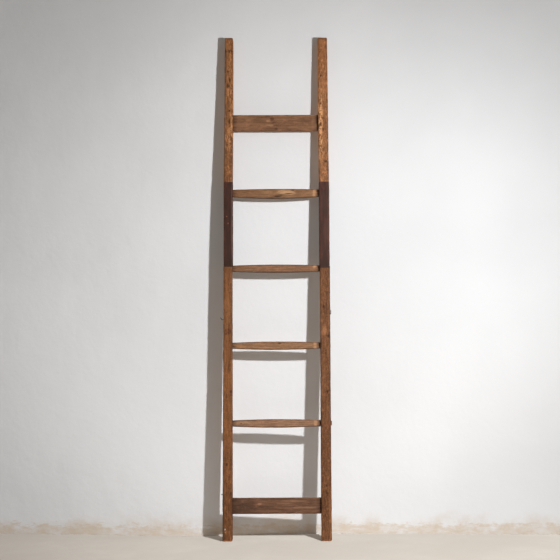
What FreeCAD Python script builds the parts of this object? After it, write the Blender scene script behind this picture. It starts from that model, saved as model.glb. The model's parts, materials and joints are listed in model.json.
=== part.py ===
import FreeCAD, Part
import math
import os

import Sketcher

# Old wooden ladder of two sections that plug together. The lower stiles end in plugs, which stand
# inside two sleeves of sheet iron. The sleeves are nailed to the upper stiles, so the upper section
# lifts off. Every crosspiece has through tenons, wedged from outside.
#
# Millimetres. +Z is up, +X runs across the ladder and -Y is its front. The origin is on the floor,
# midway between the lower stiles' inner faces and midway through their depth.

SIDES = {"left": -1, "right": 1}
LOWER_RUNGS = ("rung_2", "rung_3", "rung_4")
WEDGE_ROWS = {"upper": 1, "lower": -1}

# Points of a line or an arc, and the origin of its sketch
START, END, CENTRE = 1, 2, 3
ORIGIN = (-1, 1)

# How far an edge may stray from a height, and still count as lying at it
LEVEL_TOLERANCE = 0.001

# Where a rung's sections stand along its half length, and how full it is there
SECTION_SHARES = (-1, -0.85, -0.5, 0, 0.5, 0.85, 1)
HEIGHT_FULLNESS_SHARES = [1 - share**2 for share in SECTION_SHARES]
THICKNESS_FULLNESS_SHARES = [1 - share**4 for share in SECTION_SHARES]

SIZES = [
    # Heights, each to the middle of its crosspiece
    ("bottom_rail_height", "132", "floor to the bottom rail"),
    ("first_rung_rise", "315", "bottom rail to rung 4"),
    ("rung_pitch", "300", "rung to rung in the lower section"),
    ("section_rise", "296", "rung 2 to rung 1, across the two sections"),
    ("top_rail_rise", "278", "rung 1 to the top rail"),
    ("tip_rise", "338", "top rail to the stiles' tips"),
    # Stiles
    ("stile_depth", "42", "front to back"),
    ("stile_arris_radius", "5", "worn edges of the stiles, at their feet and tips too"),
    ("lower_clear_width", "340", "between the lower stiles"),
    ("left_foot_width", "39.5", "left lower stile at the floor"),
    ("right_foot_width", "40", "right lower stile at the floor"),
    ("left_shoulder_width", "34.8", "left lower stile at its shoulder"),
    ("right_shoulder_width", "39.5", "right lower stile at its shoulder"),
    ("left_shoulder_rise", "6", "middle of rung 2 to the left shoulder"),
    ("right_shoulder_rise", "1", "middle of rung 2 to the right shoulder"),
    ("plug_gap", "6", "plug's end to the upper stile's foot"),
    ("plug_chamfer", "2", "lead-in round the plug's end"),
    ("foot_below_rung", "36", "middle of rung 1 to the upper stile's foot"),
    ("left_upper_stile_width", "35.8", "left upper stile just above its sleeve"),
    ("right_upper_stile_width", "40.2", "right upper stile just above its sleeve"),
    ("rail_clear_width", "332.4", "between the upper stiles at the top rail's upper edge"),
    ("left_rail_stile_width", "34.8", "left upper stile at the top rail's upper edge"),
    ("right_rail_stile_width", "40", "right upper stile at the top rail's upper edge"),
    ("tip_clear_width", "331.4", "between the stiles at their tips"),
    ("left_tip_width", "33.3", "left upper stile at its tip"),
    ("right_tip_width", "39", "right upper stile at its tip"),
    # Sleeves
    ("left_sleeve_width", "36", "outside, across the ladder"),
    ("right_sleeve_width", "40.5", "outside, across the ladder"),
    ("sleeve_depth", "43.4", "outside, front to back"),
    ("sleeve_above_rung", "43", "middle of rung 1 to the sleeve's upper edge"),
    ("sheet_thickness", "1.5", "sheet iron"),
    ("sleeve_bend_radius", "4.5", "outside of the bends"),
    ("seam_gap", "0.8", "between the sheet's two edges, at the back"),
    ("plug_clearance", "0.3", "round the plug, inside the sleeve"),
    ("sleeve_fit", "0.1", "round the upper stile, inside the sleeve"),
    ("notch_clearance", "0.6", "round rung 2, in the sleeve's notch"),
    # Rungs
    ("rung_end_height", "25", "rungs 2 to 4 at the stiles"),
    ("rung_middle_height", "33", "rungs 2 to 4 at their middle"),
    ("rung_sag", "0.5", "middle of rungs 2 to 4 below their ends"),
    ("rung_1_end_height", "30", "rung 1 at the sleeves"),
    ("rung_1_middle_height", "39.5", "rung 1 at its middle"),
    ("rung_1_sag", "2.5", "middle of rung 1 below its ends"),
    ("rung_end_thickness", "11", "front to back, at the stiles"),
    ("rung_middle_thickness", "18", "front to back, at the middle"),
    ("rung_rounding_share", "0.4", "radius of a rung's edges, of its thickness"),
    ("rung_tenon_height", "17", "tenons of the rungs"),
    # Rails
    ("bottom_rail_width", "61", "bottom rail, from edge to edge"),
    ("top_rail_width", "64", "top rail, from edge to edge"),
    ("rail_thickness", "14", "both rails, front to back"),
    ("rail_arris_radius", "1.5", "worn edges of the rails"),
    ("rail_tenon_height", "44", "tenons of the rails"),
    # Tenons and wedges
    ("tenon_thickness", "9", "every tenon, front to back"),
    ("tenon_fit", "0.1", "round a tenon, in its mortise"),
    ("seat_gap", "0.1", "between a crosspiece's shoulder and its stile"),
    ("tenon_proud", "0.6", "tenon's end past the stile's outer face"),
    ("worn_tenon_proud", "3.5", "right tenon of rung 4 past its stile"),
    ("wedge_length", "25", "every wedge"),
    ("wedge_head_thickness", "3", "at the outer end"),
    ("wedge_point_thickness", "0.6", "at the inner end"),
    ("wedge_spread", "22", "between the two wedges of a rail's tenon"),
    # Nails
    ("nail_radius", "1.2", "shank of every nail"),
    ("nail_fit", "0.05", "round a shank, in its hole"),
    ("nail_head_radius", "3", "head of a sleeve nail"),
    ("nail_head_height", "1.2", "head of a sleeve nail"),
    ("nail_length", "14", "sleeve nail, below its head"),
    ("nail_point_length", "3", "tapered end of a sleeve nail"),
    ("nail_row_rise", "25", "rows of sleeve nails above and below rung 1's middle"),
    ("nail_column_offset", "8", "columns of sleeve nails from the seam"),
    ("nail_embed", "18", "old nails, inside the stiles"),
    ("bent_nail_rise", "101", "rung 3 to the old nail in the left stile"),
    ("bent_nail_stand_out", "3", "from the stile to its bend"),
    ("bent_nail_bend_radius", "4", "middle of its shank, round the bend"),
    ("bent_nail_angle", "50", "rise past the bend, in degrees"),
    ("bent_nail_tail", "9", "straight part past the bend"),
    ("clenched_nail_rise", "122", "rung 3 to the old nail in the right stile"),
    ("clenched_nail_stand_out", "0.6", "from the stile to its bend"),
    ("clenched_nail_bend_radius", "2.2", "middle of its shank, round the bend"),
    ("clenched_nail_angle", "90", "rise past the bend, in degrees"),
    ("clenched_nail_tail", "13", "part hammered flat along the stile"),
    ("stub_nail_rise", "43", "bottom rail to the short nail in the left stile"),
    ("stub_nail_stand_out", "5", "stub, from the stile to its head"),
    ("stub_nail_head_radius", "2.6", "its head"),
    # Allowance
    ("overrun", "5", "how far each cut runs past what it cuts"),
]

DERIVED = [
    ("rung_4_height", "=bottom_rail_height + first_rung_rise", "floor to rung 4"),
    ("rung_3_height", "=rung_4_height + rung_pitch", "floor to rung 3"),
    ("rung_2_height", "=rung_3_height + rung_pitch", "floor to rung 2"),
    ("rung_1_height", "=rung_2_height + section_rise", "floor to rung 1"),
    ("top_rail_height", "=rung_1_height + top_rail_rise", "floor to the top rail"),
    ("top_rail_edge_height", "=top_rail_height + top_rail_width / 2", "floor to its upper edge"),
    ("stile_top_height", "=top_rail_height + tip_rise", "floor to the tips"),
    ("left_shoulder_height", "=rung_2_height + left_shoulder_rise", "floor to the left shoulder"),
    ("right_shoulder_height", "=rung_2_height + right_shoulder_rise", "floor to the right shoulder"),
    ("upper_foot_height", "=rung_1_height - foot_below_rung", "floor to the upper stiles' feet"),
    ("plug_top_height", "=upper_foot_height - plug_gap", "floor to the plugs' ends"),
    ("sleeve_top_height", "=rung_1_height + sleeve_above_rung", "floor to the sleeves' upper edges"),
    ("bent_nail_height", "=rung_3_height + bent_nail_rise", "floor to the bent nail"),
    ("clenched_nail_height", "=rung_3_height + clenched_nail_rise", "floor to the clenched nail"),
    ("stub_nail_height", "=bottom_rail_height + stub_nail_rise", "floor to the short nail"),
    ("plug_allowance", "=sheet_thickness + plug_clearance", "sleeve's outside to the plug"),
    ("foot_allowance", "=sheet_thickness + sleeve_fit", "sleeve's outside to the upper stile"),
    ("sleeve_inner_face", "=lower_clear_width / 2 - plug_allowance", "centre plane to a sleeve"),
    ("left_sleeve_centre", "=sleeve_inner_face + left_sleeve_width / 2", "centre plane to its middle"),
    ("right_sleeve_centre", "=sleeve_inner_face + right_sleeve_width / 2", "centre plane to its middle"),
    ("tenon_hole_height", "=rung_tenon_height + 2 * tenon_fit", "mortise of a rung"),
    ("rail_hole_height", "=rail_tenon_height + 2 * tenon_fit", "mortise of a rail"),
    ("hole_thickness", "=tenon_thickness + 2 * tenon_fit", "every mortise, front to back"),
]


def add_sheet(doc):
    """The sheet that every piece takes its sizes from."""
    sheet = doc.addObject("Spreadsheet::Sheet", "Sizes")
    for row, (alias, content, meaning) in enumerate(SIZES + DERIVED, start=1):
        sheet.set(f"A{row}", meaning)
        sheet.set(f"B{row}", content)
        sheet.setAlias(f"B{row}", alias)
    doc.recompute()
    return sheet


def number(expression):
    """What an expression comes to now."""
    return float(FreeCAD.ActiveDocument.Sizes.evalExpression(expression))


def new_body(name):
    body = FreeCAD.ActiveDocument.addObject("PartDesign::Body", name)
    body.Label = name
    return body


def new_sketch(body, name, role, offset=None, along=None, across=None):
    """A sketch on one of the body's own planes, moved out by offset and within the plane."""
    sketch = body.newObject("Sketcher::SketchObject", name)
    plane = next(feature for feature in body.Origin.OriginFeatures if feature.Role == role)
    sketch.AttachmentSupport = [(plane, "")]
    sketch.MapMode = "FlatFace"
    for axis, expression in (("x", along), ("y", across), ("z", offset)):
        if expression:
            sketch.setExpression(f"AttachmentOffset.Base.{axis}", expression)
    return sketch


def constrain(sketch, expression, kind, *places):
    """One distance or radius in a sketch, bound to an expression."""
    index = sketch.addConstraint(Sketcher.Constraint(kind, *places, number(expression)))
    sketch.setExpression(f"Constraints[{index}]", expression)


def draw_outline(sketch, points):
    """A closed outline of straight lines through points given as pairs of expressions."""
    corners = [FreeCAD.Vector(number(x), number(y), 0) for x, y in points]
    count = len(points)
    first = sketch.GeometryCount
    for index, corner in enumerate(corners):
        sketch.addGeometry(Part.LineSegment(corner, corners[(index + 1) % count]))
    for index in range(count):
        following = first + (index + 1) % count
        sketch.addConstraint(Sketcher.Constraint("Coincident", first + index, END, following, START))
    for index, (x, y) in enumerate(points):
        constrain(sketch, x, "DistanceX", *ORIGIN, first + index, START)
        constrain(sketch, y, "DistanceY", *ORIGIN, first + index, START)


def draw_rectangle(sketch, left, right, low, high):
    draw_outline(sketch, [(left, low), (right, low), (right, high), (left, high)])


def draw_circle(sketch, across, up, radius):
    centre = FreeCAD.Vector(number(across), number(up), 0)
    circle = sketch.addGeometry(Part.Circle(centre, FreeCAD.Vector(0, 0, 1), number(radius)))
    constrain(sketch, across, "DistanceX", *ORIGIN, circle, CENTRE)
    constrain(sketch, up, "DistanceY", *ORIGIN, circle, CENTRE)
    constrain(sketch, radius, "Radius", circle)


def draw_rounded_rectangle(sketch, width, height, radius):
    """A rectangle round the sketch's own origin, with four equal corners."""
    corner = number(radius)
    right = number(width) / 2 - corner
    top = number(height) / 2 - corner
    outer_right = right + corner
    outer_top = top + corner
    starts = [(-right, -outer_top), (outer_right, -top), (right, outer_top), (-outer_right, top)]
    ends = [(right, -outer_top), (outer_right, top), (-right, outer_top), (-outer_right, -top)]
    centres = [(right, -top), (right, top), (-right, top), (-right, -top)]
    for index in range(4):
        start = FreeCAD.Vector(*starts[index], 0)
        end = FreeCAD.Vector(*ends[index], 0)
        sketch.addGeometry(Part.LineSegment(start, end))
        circle = Part.Circle(FreeCAD.Vector(*centres[index], 0), FreeCAD.Vector(0, 0, 1), corner)
        turn = math.pi / 2 * (index - 1)
        sketch.addGeometry(Part.ArcOfCircle(circle, turn, turn + math.pi / 2))
    for index in range(8):
        sketch.addConstraint(Sketcher.Constraint("Tangent", index, END, (index + 1) % 8, START))
    for index in (0, 4):
        sketch.addConstraint(Sketcher.Constraint("Horizontal", index))
        sketch.addConstraint(Sketcher.Constraint("Vertical", index + 2))
    for index in (3, 5, 7):
        sketch.addConstraint(Sketcher.Constraint("Equal", 1, index))
    sketch.addConstraint(Sketcher.Constraint("Symmetric", 0, START, 4, START, *ORIGIN))
    constrain(sketch, width, "DistanceX", 6, START, 2, START)
    constrain(sketch, height, "DistanceY", 0, START, 4, START)
    constrain(sketch, radius, "Radius", 1)


def pad(body, sketch, length, symmetric=False, reverse=False):
    feature = body.newObject("PartDesign::Pad", f"{sketch.Name}_pad")
    feature.Profile = sketch
    feature.SideType = "Symmetric" if symmetric else "One side"
    feature.Reversed = reverse
    feature.setExpression("Length", length)
    return feature


def cut_through(body, sketch):
    """Cuts the sketch through the whole body, to both sides of its plane."""
    feature = body.newObject("PartDesign::Pocket", f"{sketch.Name}_cut")
    feature.Profile = sketch
    feature.SideType = "Symmetric"
    feature.Type = "ThroughAll"
    return feature


def cut_outward(body, sketch, reverse):
    """Cuts the sketch from its plane to the body's outside."""
    feature = body.newObject("PartDesign::Pocket", f"{sketch.Name}_cut")
    feature.Profile = sketch
    feature.Type = "ThroughAll"
    feature.Reversed = reverse
    return feature


def loft(body, sketches):
    feature = body.newObject("PartDesign::AdditiveLoft", f"{sketches[0].Name}_loft")
    feature.Profile = sketches[0]
    feature.Sections = sketches[1:]
    return feature


def edges_at_height(shape, height):
    """Names of the edges that lie wholly at one height."""
    names = []
    for index, edge in enumerate(shape.Edges, start=1):
        box = edge.BoundBox
        if max(abs(box.ZMin - height), abs(box.ZMax - height)) < LEVEL_TOLERANCE:
            names.append(f"Edge{index}")
    return names


def edges_longer_than(shape, length):
    return [
        f"Edge{index}" for index, edge in enumerate(shape.Edges, start=1) if edge.Length > length
    ]


def dress_edges(body, kind, feature, edge_names, size_name, size):
    """A fillet or chamfer on named edges of the feature before it."""
    dressing = body.newObject(f"PartDesign::{kind}", f"{body.Name}_{kind.lower()}")
    dressing.Base = (feature, edge_names)
    dressing.setExpression(size_name, size)
    FreeCAD.ActiveDocument.recompute()
    return dressing


def lower_outer_face(side, height):
    """Centre plane to a lower stile's outer face, at a height."""
    narrowing = f"(Sizes.{side}_foot_width - Sizes.{side}_shoulder_width)"
    width = f"(Sizes.{side}_foot_width - {narrowing} * ({height}) / Sizes.{side}_shoulder_height)"
    return f"(Sizes.lower_clear_width / 2 + {width})"


def sleeve_top_face(side):
    """Centre plane to an upper stile's inner face, just above its sleeve."""
    return f"(Sizes.{side}_sleeve_centre - Sizes.{side}_upper_stile_width / 2)"


def upper_inner_face(side, height):
    """Centre plane to an upper stile's inner face, between its sleeve and the top rail's edge."""
    run = "(Sizes.top_rail_edge_height - Sizes.sleeve_top_height)"
    taper = f"({sleeve_top_face(side)} - Sizes.rail_clear_width / 2)"
    return f"({sleeve_top_face(side)} - {taper} * (({height}) - Sizes.sleeve_top_height) / {run})"


def upper_outer_face(side, height):
    """Centre plane to an upper stile's outer face, between its sleeve and the top rail's edge."""
    run = "(Sizes.top_rail_edge_height - Sizes.sleeve_top_height)"
    full = f"Sizes.{side}_upper_stile_width"
    narrowing = f"({full} - Sizes.{side}_rail_stile_width)"
    width = f"({full} - {narrowing} * (({height}) - Sizes.sleeve_top_height) / {run})"
    return f"({upper_inner_face(side, height)} + {width})"


def add_shaft(body, side, corners, open_end_height):
    """A length of stile drawn from the front, with its long edges and its open end worn round."""
    outline = new_sketch(body, f"{body.Name}_outline", "XZ_Plane")
    draw_outline(outline, [(f"{SIDES[side]} * ({across})", up) for across, up in corners])
    blank = pad(body, outline, "Sizes.stile_depth", symmetric=True)
    FreeCAD.ActiveDocument.recompute()
    arrises = edges_longer_than(blank.Shape, number("Sizes.stile_depth * 2"))
    arrises += edges_at_height(blank.Shape, number(open_end_height))
    dress_edges(body, "Fillet", blank, arrises, "Radius", "Sizes.stile_arris_radius")


def add_sleeved_end(body, side, low, high, allowance):
    """The part of a stile that stands inside the sleeve, from low to high."""
    section = new_sketch(
        body, f"{body.Name}_sleeved_section", "XY_Plane", offset=low,
        along=f"{SIDES[side]} * Sizes.{side}_sleeve_centre",
    )
    draw_rounded_rectangle(
        section, f"Sizes.{side}_sleeve_width - 2 * {allowance}",
        f"Sizes.sleeve_depth - 2 * {allowance}", f"Sizes.sleeve_bend_radius - {allowance}",
    )
    end = pad(body, section, f"{high} - {low}")
    FreeCAD.ActiveDocument.recompute()
    return end


def cut_mortise(body, name, height, hole_height):
    sketch = new_sketch(body, name, "YZ_Plane", across=height)
    half_thickness = "Sizes.hole_thickness / 2"
    draw_rectangle(
        sketch, f"-{half_thickness}", half_thickness, f"-{hole_height} / 2", f"{hole_height} / 2"
    )
    return cut_through(body, sketch)


def lower_stile(side):
    body = new_body(f"{side}_lower_stile")
    shoulder = f"Sizes.{side}_shoulder_height"
    inner_face = "Sizes.lower_clear_width / 2"
    corners = [
        (inner_face, "0"),
        (f"{inner_face} + Sizes.{side}_foot_width", "0"),
        (f"{inner_face} + Sizes.{side}_shoulder_width", shoulder),
        (inner_face, shoulder),
    ]
    add_shaft(body, side, corners, "0")
    plug = add_sleeved_end(body, side, shoulder, "Sizes.plug_top_height", "Sizes.plug_allowance")
    end_edges = edges_at_height(plug.Shape, number("Sizes.plug_top_height"))
    dress_edges(body, "Chamfer", plug, end_edges, "Size", "Sizes.plug_chamfer")
    for rung in LOWER_RUNGS:
        cut_mortise(body, f"{side}_{rung}_mortise", f"Sizes.{rung}_height", "Sizes.tenon_hole_height")
    cut_mortise(body, f"{side}_bottom_rail_mortise", "Sizes.bottom_rail_height", "Sizes.rail_hole_height")
    return body


def upper_stile(side):
    body = new_body(f"{side}_upper_stile")
    stations = [
        ("Sizes.sleeve_top_height", sleeve_top_face(side), "upper_stile_width"),
        ("Sizes.top_rail_edge_height", "Sizes.rail_clear_width / 2", "rail_stile_width"),
        ("Sizes.stile_top_height", "Sizes.tip_clear_width / 2", "tip_width"),
    ]
    inner_corners = [(inner_face, height) for height, inner_face, width in stations]
    outer_corners = [
        (f"{inner_face} + Sizes.{side}_{width}", height) for height, inner_face, width in stations
    ]
    add_shaft(body, side, outer_corners + inner_corners[::-1], "Sizes.stile_top_height")
    add_sleeved_end(
        body, side, "Sizes.upper_foot_height", "Sizes.sleeve_top_height", "Sizes.foot_allowance"
    )
    cut_mortise(body, f"{side}_rung_1_mortise", "Sizes.rung_1_height", "Sizes.tenon_hole_height")
    cut_mortise(body, f"{side}_top_rail_mortise", "Sizes.top_rail_height", "Sizes.rail_hole_height")
    return body


def wedge_corners(sign, outer_end, height):
    """Corners of a wedge seen from the front: thick at the tenon's end, thin inside."""
    head = f"{sign} * ({outer_end})"
    point = f"{sign} * (({outer_end}) - Sizes.wedge_length)"
    half_head = "Sizes.wedge_head_thickness / 2"
    half_point = "Sizes.wedge_point_thickness / 2"
    return [
        (point, f"({height}) - {half_point}"),
        (head, f"({height}) - {half_head}"),
        (head, f"({height}) + {half_head}"),
        (point, f"({height}) + {half_point}"),
    ]


def add_wedge(name, sign, outer_end, height):
    body = new_body(name)
    sketch = new_sketch(body, f"{name}_side", "XZ_Plane")
    draw_outline(sketch, wedge_corners(sign, outer_end, height))
    pad(body, sketch, "Sizes.tenon_thickness", symmetric=True)
    return body


def add_tenons(body, height, tenon_height, left_end, right_end, wedge_heights):
    """One tenon through the whole crosspiece, with a slot at each end for its wedges."""
    tenon = new_sketch(body, f"{body.Name}_tenon", "XZ_Plane")
    low = f"{height} - {tenon_height} / 2"
    high = f"{height} + {tenon_height} / 2"
    draw_rectangle(tenon, f"-1 * ({left_end})", right_end, low, high)
    pad(body, tenon, "Sizes.tenon_thickness", symmetric=True)
    for side, outer_end in (("left", left_end), ("right", right_end)):
        for row, wedge_height in enumerate(wedge_heights):
            slot = new_sketch(body, f"{body.Name}_{side}_slot_{row}", "XZ_Plane")
            draw_outline(slot, wedge_corners(SIDES[side], outer_end, wedge_height))
            cut_through(body, slot)


def add_rung(name, half_length, sag, end_height, middle_height, left_end, right_end):
    body = new_body(name)
    height = f"Sizes.{name}_height"
    fullness = zip(SECTION_SHARES, HEIGHT_FULLNESS_SHARES, THICKNESS_FULLNESS_SHARES)
    sections = []
    for index, (share, bow_share, swell_share) in enumerate(fullness):
        section = new_sketch(
            body, f"{name}_section_{index}", "YZ_Plane", offset=f"{share} * ({half_length})",
            across=f"{height} - {sag} * {bow_share}",
        )
        section_height = f"{end_height} + ({middle_height} - {end_height}) * {bow_share}"
        swelling = f"(Sizes.rung_middle_thickness - Sizes.rung_end_thickness) * {swell_share}"
        thickness = f"(Sizes.rung_end_thickness + {swelling})"
        draw_rounded_rectangle(
            section, thickness, section_height, f"{thickness} * Sizes.rung_rounding_share"
        )
        sections.append(section)
    loft(body, sections)
    add_tenons(body, height, "Sizes.rung_tenon_height", left_end, right_end, [height])
    return body


def lower_rung(name):
    height = f"Sizes.{name}_height"
    right_proud = "Sizes.worn_tenon_proud" if name == "rung_4" else "Sizes.tenon_proud"
    ends = {
        "left": f"{lower_outer_face('left', height)} + Sizes.tenon_proud",
        "right": f"{lower_outer_face('right', height)} + {right_proud}",
    }
    rung = add_rung(
        name, "Sizes.lower_clear_width / 2 - Sizes.seat_gap", "Sizes.rung_sag",
        "Sizes.rung_end_height", "Sizes.rung_middle_height", ends["left"], ends["right"],
    )
    wedges = [add_wedge(f"{name}_{side}_wedge", SIDES[side], ends[side], height) for side in SIDES]
    return [rung, *wedges]


def upper_rung():
    ends = {
        side: f"Sizes.sleeve_inner_face + Sizes.{side}_sleeve_width + Sizes.tenon_proud"
        for side in SIDES
    }
    rung = add_rung(
        "rung_1", "Sizes.sleeve_inner_face - Sizes.seat_gap", "Sizes.rung_1_sag",
        "Sizes.rung_1_end_height", "Sizes.rung_1_middle_height", ends["left"], ends["right"],
    )
    wedges = [
        add_wedge(f"rung_1_{side}_wedge", SIDES[side], ends[side], "Sizes.rung_1_height")
        for side in SIDES
    ]
    return [rung, *wedges]


def add_rail(name, inner_face_at, ends):
    """A board between the stiles, with tenons. inner_face_at places a side's stile at a height."""
    body = new_body(name)
    height = f"Sizes.{name}_height"
    low = f"{height} - Sizes.{name}_width / 2"
    high = f"{height} + Sizes.{name}_width / 2"
    board = new_sketch(body, f"{name}_board", "XZ_Plane")
    corners = [
        (f"{SIDES[side]} * ({inner_face_at(side, up)} - Sizes.seat_gap)", up)
        for side, up in (("right", low), ("right", high), ("left", high), ("left", low))
    ]
    draw_outline(board, corners)
    blank = pad(body, board, "Sizes.rail_thickness", symmetric=True)
    FreeCAD.ActiveDocument.recompute()
    arrises = edges_longer_than(blank.Shape, number(f"Sizes.{name}_width * 2"))
    dress_edges(body, "Fillet", blank, arrises, "Radius", "Sizes.rail_arris_radius")
    wedge_heights = {
        row: f"{height} + {place} * Sizes.wedge_spread / 2" for row, place in WEDGE_ROWS.items()
    }
    add_tenons(
        body, height, "Sizes.rail_tenon_height", ends["left"], ends["right"], wedge_heights.values()
    )
    wedges = [
        add_wedge(f"{name}_{side}_{row}_wedge", SIDES[side], ends[side], wedge_height)
        for side in SIDES
        for row, wedge_height in wedge_heights.items()
    ]
    return [body, *wedges]


def bottom_rail():
    height = "Sizes.bottom_rail_height"
    ends = {side: f"{lower_outer_face(side, height)} + Sizes.tenon_proud" for side in SIDES}
    return add_rail("bottom_rail", lambda side, at: "Sizes.lower_clear_width / 2", ends)


def top_rail():
    height = "Sizes.top_rail_height"
    ends = {side: f"{upper_outer_face(side, height)} + Sizes.tenon_proud" for side in SIDES}
    return add_rail("top_rail", upper_inner_face, ends)


def sleeve(side):
    """Sheet iron bent round the stile, with its seam at the back and a notch over rung 2."""
    body = new_body(f"{side}_sleeve")
    centre = f"{SIDES[side]} * Sizes.{side}_sleeve_centre"
    width = f"Sizes.{side}_sleeve_width"
    shoulder = f"Sizes.{side}_shoulder_height"
    outside = new_sketch(body, f"{side}_sleeve_outside", "XY_Plane", offset=shoulder, along=centre)
    draw_rounded_rectangle(outside, width, "Sizes.sleeve_depth", "Sizes.sleeve_bend_radius")
    pad(body, outside, f"Sizes.sleeve_top_height - {shoulder}")
    inside = new_sketch(body, f"{side}_sleeve_inside", "XY_Plane", offset=shoulder, along=centre)
    draw_rounded_rectangle(
        inside, f"{width} - 2 * Sizes.sheet_thickness",
        "Sizes.sleeve_depth - 2 * Sizes.sheet_thickness",
        "Sizes.sleeve_bend_radius - Sizes.sheet_thickness",
    )
    cut_through(body, inside)
    seam = new_sketch(body, f"{side}_seam", "XY_Plane", offset=shoulder, along=centre)
    draw_rectangle(
        seam, "-Sizes.seam_gap / 2", "Sizes.seam_gap / 2", "Sizes.sleeve_depth / 4",
        "Sizes.sleeve_depth / 2 + Sizes.overrun",
    )
    cut_through(body, seam)
    notch = new_sketch(body, f"{side}_notch", "YZ_Plane")
    half_notch = "(Sizes.rung_end_thickness / 2 + Sizes.notch_clearance)"
    notch_top = "Sizes.rung_2_height + Sizes.rung_end_height / 2 + Sizes.notch_clearance"
    draw_rectangle(notch, f"-{half_notch}", half_notch, f"{shoulder} - Sizes.overrun", notch_top)
    cut_through(body, notch)
    cut_mortise(body, f"{side}_sleeve_mortise", "Sizes.rung_1_height", "Sizes.tenon_hole_height")
    return body


def sleeve_nail_places(side):
    """Where the nails stand across the ladder and up it, either side of the seam."""
    columns = [
        f"{SIDES[side]} * Sizes.{side}_sleeve_centre + {step} * Sizes.nail_column_offset"
        for step in (-1, 1)
    ]
    rows = [f"Sizes.rung_1_height + {step} * Sizes.nail_row_rise" for step in (1, -1)]
    return [(across, up) for up in rows for across in columns]


def bore_sleeve_nails(side, stile, around):
    """Holes for the nails through the back of the sleeve and into the stile's foot."""
    for body in (stile, around):
        holes = new_sketch(
            body, f"{body.Name}_nail_holes", "XZ_Plane",
            offset="-(Sizes.sleeve_depth / 2 - Sizes.nail_length)",
        )
        for across, up in sleeve_nail_places(side):
            draw_circle(holes, across, up, "Sizes.nail_radius + Sizes.nail_fit")
        cut_outward(body, holes, reverse=False)


def nail(name, point, axis, sign, length, head_radius):
    """A straight nail along one axis: its tapered point, its shank and its head."""
    doc = FreeCAD.ActiveDocument
    heading = FreeCAD.Vector(*(sign * (letter == axis) for letter in "xyz"))
    turn = FreeCAD.Rotation(FreeCAD.Vector(0, 0, 1), heading)
    stretches = [
        ("Cone", "point", "0", {
            "Radius1": "Sizes.nail_radius / 4",
            "Radius2": "Sizes.nail_radius",
            "Height": "Sizes.nail_point_length",
        }),
        ("Cylinder", "shank", "Sizes.nail_point_length", {
            "Radius": "Sizes.nail_radius",
            "Height": f"{length} - Sizes.nail_point_length",
        }),
        ("Cone", "head", length, {
            "Radius1": head_radius,
            "Radius2": f"{head_radius} - Sizes.nail_head_height / 2",
            "Height": "Sizes.nail_head_height",
        }),
    ]
    solids = []
    for kind, part_name, distance, sizes in stretches:
        solid = doc.addObject(f"Part::{kind}", f"{name}_{part_name}")
        solid.Placement = FreeCAD.Placement(FreeCAD.Vector(), turn)
        for letter, expression in zip("xyz", point):
            shift = f" + {sign} * ({distance})" if letter == axis else ""
            solid.setExpression(f"Placement.Base.{letter}", expression + shift)
        for size_name, expression in sizes.items():
            solid.setExpression(size_name, expression)
        solids.append(solid)
    fused = doc.addObject("Part::MultiFuse", name)
    fused.Shapes = solids
    fused.Label = name
    return fused


def sleeve_nails(side):
    """Four nails that hold the seam's edges to the upper stile, heads at the back."""
    depth = "Sizes.sleeve_depth / 2 - Sizes.nail_length"
    nails = [
        nail(f"{side}_sleeve_nail_{index}", (across, depth, up), "y", 1, "Sizes.nail_length",
             "Sizes.nail_head_radius")
        for index, (across, up) in enumerate(sleeve_nail_places(side), start=1)
    ]
    group = FreeCAD.ActiveDocument.addObject("Part::Compound", f"{side}_sleeve_nails")
    group.Links = nails
    group.Label = f"{side}_sleeve_nails"
    return group


def old_nail_start(side, name):
    """Centre plane to the buried end of an old nail in a stile's outer face."""
    return f"({lower_outer_face(side, f'Sizes.{name}_height')} - Sizes.nail_embed)"


def bore_old_nail(side, stile, name):
    """A hole for an old nail, from inside the stile out through its outer face."""
    sign = SIDES[side]
    hole = new_sketch(
        stile, f"{name}_hole", "YZ_Plane", offset=f"{sign} * {old_nail_start(side, name)}"
    )
    draw_circle(hole, "0", f"Sizes.{name}_height", "Sizes.nail_radius + Sizes.nail_fit")
    cut_outward(stile, hole, reverse=sign > 0)


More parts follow.
